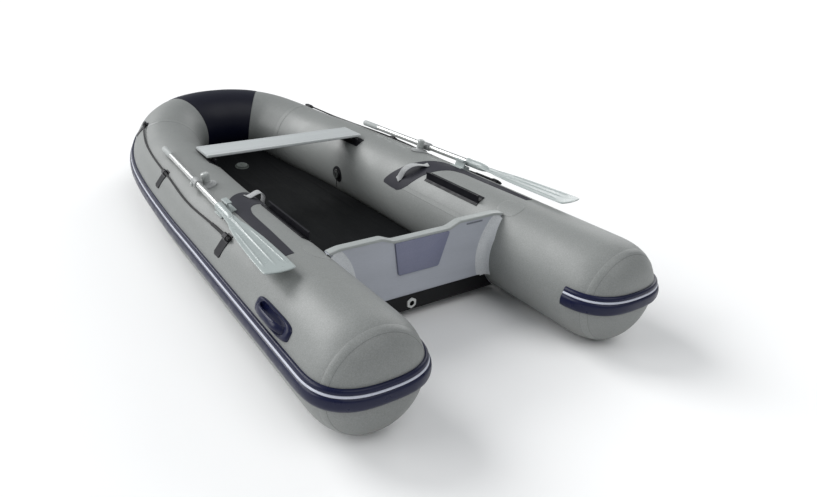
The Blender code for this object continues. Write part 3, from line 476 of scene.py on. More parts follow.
class TubeLine:
    """The starboard tube's centre line, by the distance s along it from the stem."""

    def __init__(self):
        mirrored = (-CENTRE_LINE[1][0], CENTRE_LINE[1][1])
        plan = smooth_line((mirrored, *CENTRE_LINE), 16)[16:]
        plan.append(Vector((HALF_SPACING, TAIL_DEPTH)))
        self.xy = np.array([tuple(p) for p in plan])
        steps = np.linalg.norm(np.diff(self.xy, axis=0), axis=1)
        self.s = np.concatenate([[0.0], np.cumsum(steps)])
        self.length = float(self.s[-1])

    def centre(self, s):
        x = float(np.interp(s, self.s, self.xy[:, 0]))
        y = float(np.interp(s, self.s, self.xy[:, 1]))
        rise = BOW_RISE * 0.5 * (1.0 + cos(pi * min(s / RISE_LENGTH, 1.0)))
        return Vector((x, y, TUBE_RADIUS + rise))

    def frame(self, s):
        """Centre, outboard direction and upward direction of the cross-section at s."""
        step = 0.01
        ahead = self.centre(max(s - step, 0.0))
        behind = self.centre(min(s + step, self.length))
        if s < step:
            ahead = Vector((-behind.x, behind.y, behind.z))
        along = (ahead - behind).normalized()
        out = Vector((along.y, -along.x, 0.0)).normalized()
        up = out.cross(along).normalized()
        return self.centre(s), out, up if up.z > 0 else -up

    def at_station(self, y):
        return float(np.interp(-y, -self.xy[:, 1], self.s))

    def point(self, s, angle, lift=0.0, side=1):
        """Point standing off the skin, at an angle up from outboard."""
        centre, out, up = self.frame(s)
        turn = radians(angle)
        p = centre + (TUBE_RADIUS + lift) * (cos(turn) * out + sin(turn) * up)
        return Vector((side * p.x, p.y, max(p.z, 0.0)))

    def normal(self, s, angle, side=1):
        return (self.point(s, angle, 0.1, side) - self.point(s, angle, 0.0, side)).normalized()


TUBE = TubeLine()
ROUND = [360.0 * k / TUBE_SIDES for k in range(TUBE_SIDES)]


def tube_row(s, lift, side):
    """One ring round the tube."""
    return [TUBE.point(s, a, lift, side) for a in ROUND]


def dome_point(angle, turn, lift, side):
    """Point off a tail's dome; turn runs from 0 at its rim to 90 at its tip."""
    n = TAIL_ROUNDNESS
    reach = cos(radians(turn)) ** (2 / n)
    deep = sin(radians(turn)) ** (2 / n)
    radial, aft = reach ** (n - 1) / TUBE_RADIUS, deep ** (n - 1) / TAIL_DEPTH
    scale = lift / hypot(radial, aft)
    radius = TUBE_RADIUS * reach + radial * scale
    a = radians(angle)
    x, z = HALF_SPACING + radius * cos(a), TUBE_RADIUS + radius * sin(a)
    return Vector((side * x, TAIL_DEPTH * (1 - deep) - aft * scale, max(z, 0.0)))


def walled(rows, lining):
    """Outer rows, then the inner ones back again, for a closed wall."""
    return [*rows, *reversed(lining)]


def steps_between(start, stop, most):
    """Even steps from start to stop, none longer than most."""
    count = max(2, ceil((stop - start) / most) + 1)
    return [float(s) for s in np.linspace(start, stop, count)]


def seam_pinch(s):
    """How far the tape holds the skin in at a seam round the tube."""
    return -0.0011 * sum(exp(-((s - seam) / 0.02) ** 2) for seam in (SHOULDER_SEAM, BOW_SEAM))


def tube_wall(run):
    """Outer skin and lining of a stretch of tube, from its (s, side) places."""
    rows = [tube_row(s, seam_pinch(s), side) for s, side in run]
    return walled(rows, [tube_row(s, -SKIN, side) for s, side in run])


def hull_panels():
    across = steps_between(-SHOULDER_SEAM, SHOULDER_SEAM, 0.015)
    bow = [(abs(s), 1 if s >= 0 else -1) for s in across]
    shell("hull_bow", tube_wall(bow), [HULL], "hull_fabric",
          ("bow_centre", "bow_quarter_port", "bow_quarter_starboard"), loop=True)
    turns = [90.0 * (k / 30) ** 0.9 for k in range(30)] + [89.6]
    for word, side in SIDES:
        run = [(s, side) for s in steps_between(SHOULDER_SEAM, TUBE.length, 0.03)]
        shell(f"hull_side_{word}", tube_wall(run), [HULL], "hull_fabric",
              (f"side_tube_{word}",), loop=True)
        rows, lining = ([[dome_point(a, t, lift, side) for a in ROUND] for t in turns]
                        for lift in (0.0, -SKIN))
        shell(f"hull_tail_{word}", [*reversed(lining), *rows], [HULL], "hull_fabric",
              (f"tail_cone_{word}",), caps=True)


# ---- Tapes and patches on the tubes

def layer_rows(line, half, lift, side, edge=0.0016):
    """Rows of a taped strip along a line of (s, angle) places, with its edges pressed down."""
    shape = ((-half - edge, TUCK), (-half, lift), (half, lift), (half + edge, TUCK))
    rows = []
    for (s0, a0), (s, a), (s1, a1) in with_neighbours(line):
        run = Vector((s1 - s0, (a1 - a0) / ARC)).normalized()
        rows.append([TUBE.point(s - o * run.y, a + o * run.x * ARC, h, side) for o, h in shape])
    return rows


def patch_rows(station, angle, half_long, half_wide, rims, side, squareness=1.0, count=64):
    """Rings of a patch on the tube, from the middle out; a squareness under 1 squares them."""
    def bulged(value):
        return copysign(abs(value) ** squareness, value)

    rows = []
    for reach, lift in rims:
        row = []
        for turn in circle(count):
            s = TUBE.at_station(station + bulged(cos(turn)) * half_long * reach)
            over = bulged(sin(turn)) * half_wide * reach
            row.append(TUBE.point(s, angle + over * ARC, lift, side))
        rows.append(row)
    return rows


def tapes():
    first, last = TAIL_SEAM_TURNS
    tail = ((first - 0.8, TUCK), (first, 0.0008), (last, 0.0008), (last + 0.8, TUCK))
    for word, side in SIDES:
        hoop = [(SHOULDER_SEAM, a) for a in (*ROUND, 360.0)]
        shell(f"shoulder_tape_{word}", layer_rows(hoop, 0.016, TAPE_LIFT, side), [TAPE],
              "hull_fabric")
        ends = (TUBE.at_station(1.345), TUBE.at_station(0.655))
        run = [(s, SIDE_SEAM_ANGLE) for s in steps_between(*ends, 0.03)]
        # The middle column is tape; the sloped edge columns take the painted edge shade.
        shell(f"side_tape_{word}", layer_rows(run, 0.011, TAPE_LIFT, side), [TAPE, TAPE_EDGE_SHADE],
              "hull_fabric", caps=True, pick=lambda _, column: 0 if column == 1 else 1)
        rows = [[dome_point(a, t, h, side) for a in ROUND] for t, h in tail]
        # The middle row is tape; the sloped edge rows take the painted edge shade.
        shell(f"tail_tape_{word}", rows, [TAPE, TAPE_EDGE_SHADE], "hull_fabric", loop=True,
              pick=lambda row, _: 0 if row == 1 else 1)
        keel = [(s, 232.0) for s in steps_between(0.62, TUBE.at_station(TRANSOM_AFT), 0.03)]
        shell(f"bottom_tape_{word}", layer_rows(keel, 0.020, 0.0008, side), [BOTTOM],
              "bottom_black", caps=True)


def bow_patch():
    """Navy band round the stem."""
    run = [-BOW_SEAM - 0.002, *steps_between(-BOW_SEAM, BOW_SEAM + 0.007, 0.012), BOW_SEAM + 0.009]
    lifts = [-0.0006, *[0.0022] * (len(run) - 2), -0.0006]
    rows, lining = [], []
    for s, lift in zip(run, lifts):
        side, pinch = (1 if s >= 0 else -1), seam_pinch(abs(s))
        rows.append(tube_row(abs(s), lift + pinch, side))
        lining.append(tube_row(abs(s), -0.0008 + pinch, side))
    shell("bow_band", walled(rows, lining), [NAVY_FABRIC], "bow_patch_navy", ("bow_patch",),
          loop=True)


def chafe_patches():
    """Wear patch that starts as a band along the tube's top and turns down under the strap."""
    outer = (
        (0.602, 78.0), (0.80, 77.0), (1.00, 76.5), (1.12, 77.0), (1.17, 80.0), (1.21, 86.0),
        (1.245, 96.0), (1.29, 112.0), (1.345, 132.0), (1.385, 146.0), (1.405, 155.0),
        (1.40, 159.0),
    )
    inner = (
        (0.602, 87.5), (0.80, 89.5), (0.98, 90.5), (1.03, 92.5), (1.075, 97.0), (1.115, 107.0),
        (1.155, 122.0), (1.19, 138.0), (1.225, 152.0), (1.27, 160.0), (1.30, 160.4),
        (1.33, 160.5),
    )
    lift = 0.0016
    across = [(k / 12, lift) for k in range(1, 12)]
    across = [(0.0, TUCK), (0.01, lift), *across, (0.99, lift), (1.0, TUCK)]
    far, near = smooth_line(outer, 6), smooth_line(inner, 6)
    for word, side in SIDES:
        rows = []
        for p, q in zip(far, near):
            row = [(p.lerp(q, share), up) for share, up in across]
            rows.append([TUBE.point(TUBE.at_station(at.x), at.y, up, side) for at, up in row])
        shell(f"chafe_cloth_{word}", rows, [CHAFE], "chafe_charcoal", (f"chafe_patch_{word}",),
              caps=True)


def strap_handles():
    """Webbing loop over the inboard shoulder of the tube."""
    route = (
        (106.0, 1.208, 0.0048), (110.0, 1.214, 0.0052), (114.0, 1.221, 0.0135),
        (120.0, 1.233, 0.0285), (126.0, 1.25, 0.0350), (133.0, 1.268, 0.0300),
        (139.0, 1.283, 0.0150), (143.0, 1.293, 0.0065), (147.0, 1.301, 0.0055),
    )
    half_width, half_thick = 0.019, 0.0013
    across = Vector((0.0, 1.0, 0.0))
    under = ((-1.0, -0.5), (-0.94, -1.0), (0.94, -1.0), (1.0, -0.5))
    section = [*under, *((-a, -b) for a, b in under)]
    for word, side in SIDES:
        knots = [TUBE.point(TUBE.at_station(y), a, lift, side) for a, y, lift in route]
        rows = []
        for before, centre, after in with_neighbours(smooth_line(knots, 8)):
            run = (after - before).normalized()
            wide = (across - run * across.dot(run)).normalized()
            thick = run.cross(wide).normalized()
            rows.append([centre + a * half_width * wide + b * half_thick * thick
                         for a, b in section])
        shell(f"strap_{word}", rows, [WEBBING], "strap_light_grey", (f"strap_handle_{word}",),
              caps=True)


# ---- Rubbing strake

# Angle on the tube and height off it, round the section; the pale line's columns are counted.
STRAKE_PROFILE = (
    (15.4, -0.0005), (15.4, 0.0050), (15.1, 0.0078), (14.4, 0.0100), (13.4, 0.0114),
    (12.2, 0.0120), (10.9, 0.0118), (10.55, 0.0100), (10.35, 0.0112), (9.9, 0.0122),
    (9.4, 0.0128), (8.8, 0.0130), (8.4, 0.0124), (8.2, 0.0112), (7.7, 0.0142),
    (6.8, 0.0168), (5.4, 0.0184), (3.4, 0.0190), (1.0, 0.0190), (-1.2, 0.0180),
    (-3.0, 0.0158), (-4.1, 0.0125), (-4.6, 0.0080), (-4.6, -0.0005), (5.5, -0.0010),
)
PALE_COLUMNS = range(7, 12)
STRAKE_END = 174.5


def tail_surface(angle, turn, proud):
    """Point proud of the starboard tail at one height; turn runs from 0 outboard to 180 inboard."""
    n = TAIL_ROUNDNESS
    height = TUBE_RADIUS * sin(radians(angle))
    deepest = (1 - abs(height / TUBE_RADIUS) ** n) ** (1 / n)
    lean = radians(turn)
    u = deepest * abs(sin(lean)) ** (2 / n)
    reach = TUBE_RADIUS * max(1 - u ** n, 0.0) ** (1 / n)
    across = copysign(sqrt(max(reach ** 2 - height ** 2, 0.0)), cos(lean))
    radial = n * reach ** (n - 1) / TUBE_RADIUS ** n
    aft = n * u ** (n - 1) / TAIL_DEPTH
    normal = Vector((radial * across / reach, -aft, radial * height / reach)).normalized()
    foot = Vector((HALF_SPACING + across, TAIL_DEPTH * (1 - u), TUBE_RADIUS + height))
    return foot + proud * normal


def strakes():
    turns = [float(t) for t in np.linspace(0.0, STRAKE_END, 60)][1:]
    for word, side in SIDES:
        rows = [[TUBE.point(s, angle, proud, side) for angle, proud in STRAKE_PROFILE]
                for s in steps_between(0.0003, TUBE.length, 0.022)]
        for turn in turns:
            points = [tail_surface(angle, turn, proud) for angle, proud in STRAKE_PROFILE]
            rows.append([Vector((side * p.x, p.y, p.z)) for p in points])
        shell(f"rub_strake_{word}", rows, [NAVY_RUBBER, STRIPE], "strake_navy",
              (f"strake_{word}",), caps=True, pick=lambda _, column: column in PALE_COLUMNS)


# ---- Floor

def floor_mat():
    """Air floor with rounded sides and the shallow lines that its inner threads leave."""
    lines = [0.09 * k for k in range(-5, 6)]
    half_height = FLOOR_THICKNESS / 2
    sections = []
    for s in steps_between(0.045, 1.65, 0.035):
        centre, out, _ = TUBE.frame(s)
        top = centre.z - TUBE_RADIUS + FLOOR_TOP
        sink = centre.z - top
        reach = sqrt(max(TUBE_RADIUS ** 2 - sink ** 2, 0.0)) + 0.0065
        sections.append((centre.x - reach * out.x, centre.y - reach * out.y, top))
    edge, station = sections[-1][:2]
    sections += [(edge, y, FLOOR_TOP) for y in steps_between(FLOOR_AFT, station, 0.06)[-2::-1]]
    rows = []
    for width, y, top in sections:
        flat = max(width - half_height, 0.004)
        row = []
        for k in range(81):
            x = flat * (k / 40 - 1)
            dip = sum(exp(-((x - line) / 0.007) ** 2) for line in lines)
            row.append((x, y, top - 0.0012 * dip))
        turns = [pi * (0.5 - k / 12) for k in range(1, 12)]
        bend = [((width - flat) * cos(t), half_height * sin(t)) for t in turns]
        row += [(flat + reach, y, top - half_height + up) for reach, up in bend]
        row += [(x, y, top - FLOOR_THICKNESS) for x in (flat, 0.0, -flat)]
        row += [(-flat - reach, y, top - half_height - up) for reach, up in bend]
        rows.append(row)
    shell("floor_mat", rows, [FLOOR], "floor_charcoal", ("air_floor",), caps=True)


# ---- Stern

def cap_strip():
    """Rounded plastic channel along the board's top edge."""
    right = [
        (NOTCH_HALF, NOTCH_TOP),
        (NOTCH_HALF + NOTCH_SLOPE, TRANSOM_TOP),
        (SHOULDER_X, TRANSOM_TOP),
        (SHOULDER_END - 0.008, TRANSOM_TOP - SHOULDER_DROP * 0.91),
    ]
    corners = [Vector((-x, z)) for x, z in reversed(right)] + [Vector(p) for p in right]
    path = [corners[0]]
    for before, corner, after in zip(corners, corners[1:], corners[2:]):
        back, on = (before - corner).normalized() * 0.012, (after - corner).normalized() * 0.012
        path += [corner + (1 - t) ** 2 * back + t ** 2 * on for t in (0.0, 0.25, 0.5, 0.75, 1.0)]
    path.append(corners[-1])
    overhang, crown, hem, wall, corner = 0.0034, 0.0045, -0.0060, 0.003, 0.0042
    aft, fore = TRANSOM_AFT - overhang, TRANSOM_AFT + TRANSOM_THICKNESS + overhang
    turns = [pi / 2 * k / 6 for k in range(7)]
    bend = [(corner - corner * cos(t), crown - corner + corner * sin(t)) for t in turns]
    section = [(aft, hem), *((aft + y, z) for y, z in bend)]
    section += [(fore - y, z) for y, z in reversed(bend)]
    section += [(fore, hem), (fore - wall, hem), (fore - wall, 0.0003), (aft + wall, 0.0003),
                (aft + wall, hem)]
    rows = [[(p.x, y, p.y + up) for y, up in section] for p in path]
    shell("cap_strip", rows, [CAP], "cap_light_grey", ("transom_cap",), caps=True)


def plate_on_board(name, outline, corner, thickness, edge, look, slot, replaced=()):
    """Flat plate on the board's aft face with rounded corners and softened edges."""
    loop = rounded(outline, corner)
    middle = sum(loop, Vector((0.0, 0.0))) / len(loop)
    span = max((p - middle).length for p in loop)
    face = TRANSOM_AFT - 0.0003
    steps = ((0.0, 0.0), (thickness - edge, 0.0), (thickness - 0.3 * edge, 0.3 * edge),
             (thickness, edge))
    rows = []
    for depth, inset in steps:
        drawn_in = [p + (middle - p) * (inset / span) for p in loop]
        rows.append([(q.x, face - depth, q.y) for q in drawn_in])
    shell(name, rows, [look], slot, replaced, caps=True)


def board_fittings():
    pad = ((-0.133, 0.3660), (-0.107, 0.220), (0.092, 0.220), (0.137, 0.3660))
    plate_on_board("clamp_pad", pad, 0.009, 0.008, 0.002, PAD, "motor_pad_grey",
                   ("motor_pad",))
    blank = ((0.228, 0.3795), (0.228, 0.3725), (0.314, 0.3725), (0.314, 0.3795))
    plate_on_board("blank_plate", blank, 0.002, 0.0012, 0.0005, PLATE, "motor_pad_grey")


def drain_ring():
    """Six-sided flange round the drain's sleeve, which passes through the board."""
    place = frame_at((DRAIN_X, TRANSOM_AFT, DRAIN_Z), (0, 1, 0), (1, 0, 0))
    through = TRANSOM_THICKNESS + 0.004
    profile = (
        (0.0113, through, 0.0), (0.0113, -0.0080, 0.0), (0.0120, -0.0090, 0.0),
        (0.0150, -0.0098, 0.3), (0.0185, -0.0092, 0.8), (0.0212, -0.0075, 1.0),
        (0.0222, -0.0050, 1.0), (0.0222, -0.0029, 1.0), (0.0139, -0.0029, 0.0),
        (0.0139, through, 0.0),
    )
    rows = []
    for r, z, corners in profile:
        row = []
        for turn in circle(72):
            off_flat = (turn + pi / 6) % (pi / 3) - pi / 6
            reach = r * (1 + corners * 0.8 * (1 / cos(off_flat) - 1))
            row.append(place @ Vector((reach * cos(turn), reach * sin(turn), z)))
        rows.append(row)
    shell("drain_ring", rows, [DRAIN, BLACK_PLASTIC], "drain_light_grey", ("drain_body",),
          loop=True, pick=lambda row, _: 1 if row == 0 else 0)


def flanges():
    """Curved fabric flanges that close the corners between the board and the tubes."""
    aft, fore = TRANSOM_AFT, TRANSOM_AFT + TRANSOM_THICKNESS
    for word, side in SIDES:
        for place, face, way in (("aft", aft, -1), ("fore", fore, 1)):
            rows = []
            for a in steps_between(130.5, 205.0, 2.0):
                turn = radians(a)
                room = 0.176 / sin(turn) if sin(turn) > 0.6 else 1.0
                wide = min(TUBE_RADIUS + 0.043, room) - TUBE_RADIUS
                start, knee = Vector((wide, 0.0006)), Vector((0.0035, 0.0035))
                reach = 0.010 + 0.026 * min((a - 130.5) / 26.0, 1.0)
                end = Vector((0.0004, reach))
                section = [Vector((wide + 0.0015, TUCK))]
                for k in range(13):
                    t = k / 12
                    section.append((1 - t) ** 2 * start + 2 * t * (1 - t) * knee + t * t * end)
                section += [Vector((-0.0006, reach + 0.0015)), Vector((-0.0006, TUCK))]
                row = []
                for lift, off in section:
                    radius = TUBE_RADIUS + lift
                    x = HALF_SPACING + radius * cos(turn)
                    row.append((side * x, face + way * off, TUBE_RADIUS + radius * sin(turn)))
                rows.append(row)
            shell(f"flange_{place}_{word}", rows, [FLANGE], "hull_fabric", caps=True)


def flange_patches():
    """Rounded patch that finishes the flange on top of each tube."""
    rims = [(reach, 0.0008) for reach in (0.002, 0.3, 0.6, 0.85, 0.97)] + [(1.0, TUCK)]
    for word, side in SIDES:
        rows = patch_rows(0.600, 113.0, 0.060, 0.050, rims, side, squareness=0.75)
        # The patch's outer rims take the painted edge shade.
        shell(f"flange_patch_{word}", rows, [TAPE, TAPE_EDGE_SHADE], "hull_fabric", caps=True,
              pick=lambda row, _: 1 if row >= 4 else 0)


# ---- Seat

def seat_board():
    """Plank with rounded edges and a groove along each side of its top."""
    low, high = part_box("seat_plank")
    edge, groove, groove_inset, nosing = 0.0045, 0.0012, 0.022, 0.006
    groove_shape = ((0.0016, 0.0), (0.0006, groove), (-0.0006, groove), (-0.0016, 0.0))
    section = []
    for y0, z0, start in ((low.y, low.z, 180), (high.y, low.z, 270), (high.y, high.z, 0),
                          (low.y, high.z, 90)):
        y_in = y0 + (edge if y0 == low.y else -edge)
        z_in = z0 + (edge if z0 == low.z else -edge)
        for k in range(7):
            turn = radians(start + 90 * k / 6)
            section.append((y_in + edge * cos(turn), z_in + edge * sin(turn)))
        if start == 0:
            for line in (high.y - groove_inset, low.y + groove_inset):
                section += [(line + d, high.z - h) for d, h in groove_shape]
    middle = (low + high) / 2
    slices = ((low.x, 0.0018), (low.x + 0.0006, 0.0006), (low.x + 0.0018, 0.0),
              (high.x - 0.0018, 0.0), (high.x - 0.0006, 0.0006), (high.x, 0.0018))
    rows = []
    for x, inset in slices:
        row = []
        for y, z in section:
            to_y = copysign(min(inset, abs(y - middle.y)), middle.y - y)
            to_z = copysign(min(inset, abs(z - middle.z)), middle.z - z)
            row.append((x, y + to_y + MIDSHIP, z + to_z))
        rows.append(row)

    def look(_row, column):
        y = (section[column][0] + section[(column + 1) % len(section)][0]) / 2
        return 1 if y < low.y + nosing or y > high.y - nosing else 0

    shell("seat_board", rows, [SEAT, SEAT_EDGE], "seat_paint_grey", ("seat_plank",), "seat",
          caps=True, pick=look)


# ---- Handles and rope

def lifting_handles():
    """Moulded handle: a rimmed plate with a pocket, and a bar bridging the pocket."""
    middle, angle = 0.405, 28.25
    half_long, half_wide = 0.126, 0.0325
    bar_wide, bar_thick = 0.0135, 0.0065
    rims = (
        (0.004, 0.0022), (0.25, 0.0022), (0.45, 0.0022), (0.60, 0.0024), (0.66, 0.0040),
        (0.72, 0.0085), (0.78, 0.0112), (0.85, 0.0118), (0.91, 0.0104), (0.96, 0.0070),
        (0.99, 0.0030), (1.0, -0.0006),
    )
    rise = ((0.092, 0.004), (0.084, 0.015), (0.062, 0.029), (0.03, 0.035))
    route = [*((-along, lift) for along, lift in rise), (0.0, 0.036), *reversed(rise)]
    for word, side in SIDES:
        rows = patch_rows(middle, angle, half_long, half_wide, rims, side, 0.5, 80)
        plate = skin("handle_plate", rows, caps=True)
        rows = []
        for before, (dy, lift), after in with_neighbours(smooth_line(route, 5)):
            slope = (after - before).normalized()
            s = TUBE.at_station(middle + dy)
            normal = TUBE.normal(s, angle, side)
            centre = TUBE.point(s, angle, lift, side)
            thick = Vector((0, -slope.y, 0)) + slope.x * normal
            wide = normal.cross(Vector((0, 1, 0))).normalized()
            rows.append([centre + bar_wide * cos(t) * wide + bar_thick * sin(t) * thick
                         for t in circle(24)])
        mesh = merged(f"carry_handle_{word}", [plate, skin("handle_bar", rows, caps=True)])
        piece(f"carry_handle_{word}", mesh, [NAVY_RUBBER], "hull",
              (f"lifting_handle_{word}",))


HOLDER_PLACES = (
    (SHOULDER_SEAM - 0.02, 55.0), (TUBE.at_station(1.795), 50.0), (TUBE.at_station(0.93), 50.0),
)
ROPE_RADIUS = 0.0050
ROPE_PITCH = 0.034
KNOT_OFFSET = 0.024
SPLICE_LENGTH = 0.15
ROPE_LIFT = 0.0125
ROPE_SAGS = (1.4, 3.9)


def ropes():
    """Three-strand rope through the three eyes of each side, sagging a little between them."""
    first, *_, last = HOLDER_PLACES
    for word, side in SIDES:
        knots = [TUBE.point(first[0] - 0.035, first[1], ROPE_LIFT, side)]
        for (s0, a0), (s1, a1), sag in zip(HOLDER_PLACES, HOLDER_PLACES[1:], ROPE_SAGS):
            for k in range(19):
                t = k / 19
                droop = sin(pi * t) ** 2
                angle = a0 + (a1 - a0) * t - sag * droop
                knots.append(TUBE.point(s0 + (s1 - s0) * t, angle, ROPE_LIFT - 0.004 * droop, side))
        knots += [TUBE.point(last[0] + ds, last[1], ROPE_LIFT, side) for ds in (0.0, 0.035)]
        eyes = [TUBE.point(s, a, ROPE_LIFT, side) for s, a in HOLDER_PLACES]
        rows, gone = [], 0.0
        for before, centre, after in with_neighbours(smooth_line(knots, 16)):
            gone += (centre - before).length
            local = frame_at(centre, after - before, (0.0, 0.0, 1.0))
            twist = gone / ROPE_PITCH * tau
            to_knots = [abs((centre - eye).length - KNOT_OFFSET) for eye in eyes]
            swell = 1.0 + 0.85 * sum(exp(-(d / 0.0085) ** 2) for d in to_knots)
            if 0.0 < centre.y - eyes[-1].y < SPLICE_LENGTH:
                swell = max(swell, 1.45)
            row = []
            for turn in circle(18):
                radius = ROPE_RADIUS * swell * (0.88 + 0.12 * abs(sin(1.5 * turn)))
                x, y = radius * cos(turn + twist), radius * sin(turn + twist)
                row.append(local @ Vector((x, y, 0.0)))
            rows.append(row)
        shell(f"rope_{word}", rows, [ROPE], "rope_black", (f"grab_line_{word}",), smooth=60.0,
              caps=True)


# ---- Oars

def lock_axes(side):
    """Seat on the tube, upright axis, outboard direction and the pin's centre in the shaft."""
    s = TUBE.at_station(LOCK_STATION)
    seat_point = TUBE.point(s, LOCK_ANGLE, 0.0, side)
    upright = TUBE.normal(s, LOCK_ANGLE, side)
    outward = Vector((0, 1, 0)).cross(upright).normalized()
    outward = outward if outward.x * side > 0 else -outward
    pin = seat_point + PIN_HEIGHT * upright + SHAFT_OFFSET * outward
    return seat_point, upright, outward, pin


def blade_columns(reach, line):
    """Places across the blade, close together over its ribs and at its edges."""
    stops = ((0.0, 0.0075, 6), (0.0075, line - 0.0065, 4), (line - 0.0065, line + 0.0065, 8))
    half = [low + (high - low) * k / steps for low, high, steps in stops for k in range(steps)]
    first = line + 0.0065
    half += [first + (reach - first) * sin(pi / 2 * k / 8) for k in range(9)]
    return [-x for x in reversed(half)] + half[1:]


def blade_mesh(name, neck, run, length):
    """Flat blade with rounded edges, a tall middle rib and two side ribs, on a socket."""
    wide = Vector((1, 0, 0)) - run * run.x
    place = frame_at(neck, wide.cross(-run), wide)
    outline = (
        (0.085, 0.0195), (0.12, 0.0228), (0.19, 0.0275), (0.225, 0.036), (0.29, 0.044),
        (0.36, 0.051), (0.435, 0.0545), (0.52, 0.0575), (length - 0.030, 0.0595),
        (length - 0.012, 0.0585), (length - 0.004, 0.0560), (length, 0.0500),
    )
    distance, half = zip(*outline)
    rows = []
    for d in [*steps_between(0.085, length - 0.03, 0.008),
              *steps_between(length - 0.027, length, 0.003)]:
        reach = float(np.interp(d, distance, half))
        tail = max(0.0, 1 - (length - d) / 0.006)
        line = min(0.029 + (d - 0.29) * 0.035, reach - 0.0095)
        side_ribs = float(np.interp(d, (0.27, 0.30, 0.57, 0.60), (0.0, 1.0, 1.0, 0.0)))
        middle_rib = 0.0062 * float(np.interp(d, (0.12, 0.57, 0.60), (1.0, 0.36, 0.0)))
        round_off = 0.007 * max(0.0, 1 - (length - d) / 0.05)
        top = []
        for x in blade_columns(reach, line):
            share = x / reach
            flat = 0.0034 * (1 - 0.55 * tail) * max(1 - abs(share) ** 10, 0.0) ** 0.5 + 0.0002
            rib = middle_rib * exp(-(x / 0.0042) ** 2)
            rib += 0.0026 * side_ribs * exp(-((abs(x) - line) / 0.0036) ** 2)
            top.append((x, d - round_off * share * share, flat + rib))
        row = top + [(x, y, -z) for x, y, z in reversed(top)]
        rows.append([place @ Vector(p) for p in row])
    plate = skin("blade_plate", rows, caps=True)
    along = frame_at(neck, -run, (0, 0, 1))
    socket = turned("blade_socket", [
        (SHAFT_RADIUS + 0.0004, 0.09), (SHAFT_RADIUS + 0.0004, -0.002),
        *mm((18.8, -2), (19.7, 0), (19.7, 12), (19, 14), (19, 90), (17.8, 112), (14, 132),
            (8.5, 150), (3, 162), (2, 100)),
    ], along, hollow=True)
    return merged(name, [plate, socket])


def oars():
    for word, side in SIDES:
        seat_point, upright, outward, pin = lock_axes(side)
        run = Vector((side * OAR_LEAN, 1.0, OAR_SLOPE)).normalized()
        grip_end, neck, tip = (pin + run * ((y - pin.y) / run.y)
                               for y in (GRIP_STATION, NECK_STATION, BLADE_STATION))
        body = f"oar_{word}"
        aft = neck - run * SOCKET_DEPTH
        length = (grip_end - run * GRIP_OVERLAP - aft).length
        bore = SHAFT_RADIUS - 0.0015
        tube = turned("shaft_tube", [
            (bore, 0.0), (bore, length), (SHAFT_RADIUS, length), (SHAFT_RADIUS, 0.0),
        ], frame_at(aft, run, outward), hollow=True)
        end = mm((17.2, 32), (18.6, 30.5), (20.3, 26.5), (20.6, 24.5))
        collar = turned("shaft_collar", [
            (SHAFT_RADIUS, -0.032), (SHAFT_RADIUS, 0.032), *end,
            *((r, -z) for r, z in reversed(end)),
        ], frame_at(pin, run, outward), hollow=True)
        piece(f"shaft_{word}", tube, [METAL], body, (f"oar_shaft_{word}",))
        piece(f"collar_{word}", collar, [GREY_PLASTIC], body)
        ribs = []
        for k in range(9):
            z = 0.052 + 0.0085 * k
            ribs += [(0.0155, z), (0.0161, z + 0.0012), (0.0161, z + 0.0042), (0.0155, z + 0.0054)]
        grip = turned("grip", [
            (SHAFT_RADIUS + 0.0003, GRIP_LENGTH), (SHAFT_RADIUS + 0.0003, 0.028),
            *mm((6, 28), (6, 0), (13, 0), (15, 1.2), (16, 4), (16.2, 30), (15.8, 40)), *ribs,
            (0.0158, GRIP_LENGTH - 0.002), (0.0154, GRIP_LENGTH),
        ], frame_at(grip_end, -run, outward), hollow=True)
        piece(f"grip_{word}", grip, [GRIP], body, (f"oar_grip_{word}",))
        blade = blade_mesh(f"blade_{word}", neck, run, (neck - tip).length)
        piece(f"blade_{word}", blade, [LIGHT_PLASTIC], body, (f"oar_blade_{word}",))
        oarlock(word, seat_point, upright, outward)


def oarlock(word, seat_point, upright, outward):
    """Flanged base on the tube, and a turning post with the pin that the oar's collar rides on."""
    place = frame_at(seat_point, upright, outward)
    base = turned(f"lock_base_{word}", mm(
        (7.5, 2.5), (7.5, 19.6), (8, 20), (16, 20), (17, 19.4), (17.6, 17.5), (18.6, 14),
        (20.5, 11.2), (23.5, 9.8), (30, 8.8), (30.8, 10), (33, 10.4), (35.2, 9.8), (36, 8.2),
        (40.5, 7.2), (42.4, 6.2), (43, 4.5), (43, -1), (15, -1),
    ), place, sides=64, hollow=True)
    piece(f"lock_base_{word}", base, [GREY_PLASTIC], "hull",
          (f"oarlock_base_{word}",))
    post = turned("lock_post", mm(
        (6, 4), (6.8, 4.8), (6.8, 20.6), (17.2, 20.6), (18.2, 21.2), (18.6, 22.6), (18.6, 40),
        (19, 41.2), (19, 54.5), (18.4, 58), (16.8, 60.6), (14, 62.2), (10, 63), (9.5, 62.2),
        (6, 61.8),
    ), place)
    pin = turned("lock_pin", mm(
        (6, 12), (6, 65.7), (8.6, 65.8), (9.4, 66.4), (9.6, 67.6), (9.6, 70.8), (9, 73),
        (7.6, 74.2), (5, 74.5),
    ), frame_at(seat_point + PIN_HEIGHT * upright, outward, upright))
    head = merged(f"lock_head_{word}", [post, pin])
    piece(f"lock_head_{word}", head, [LOCK_PLASTIC], f"oar_lock_{word}",
          (f"oarlock_head_{word}",))


# ---- Valves

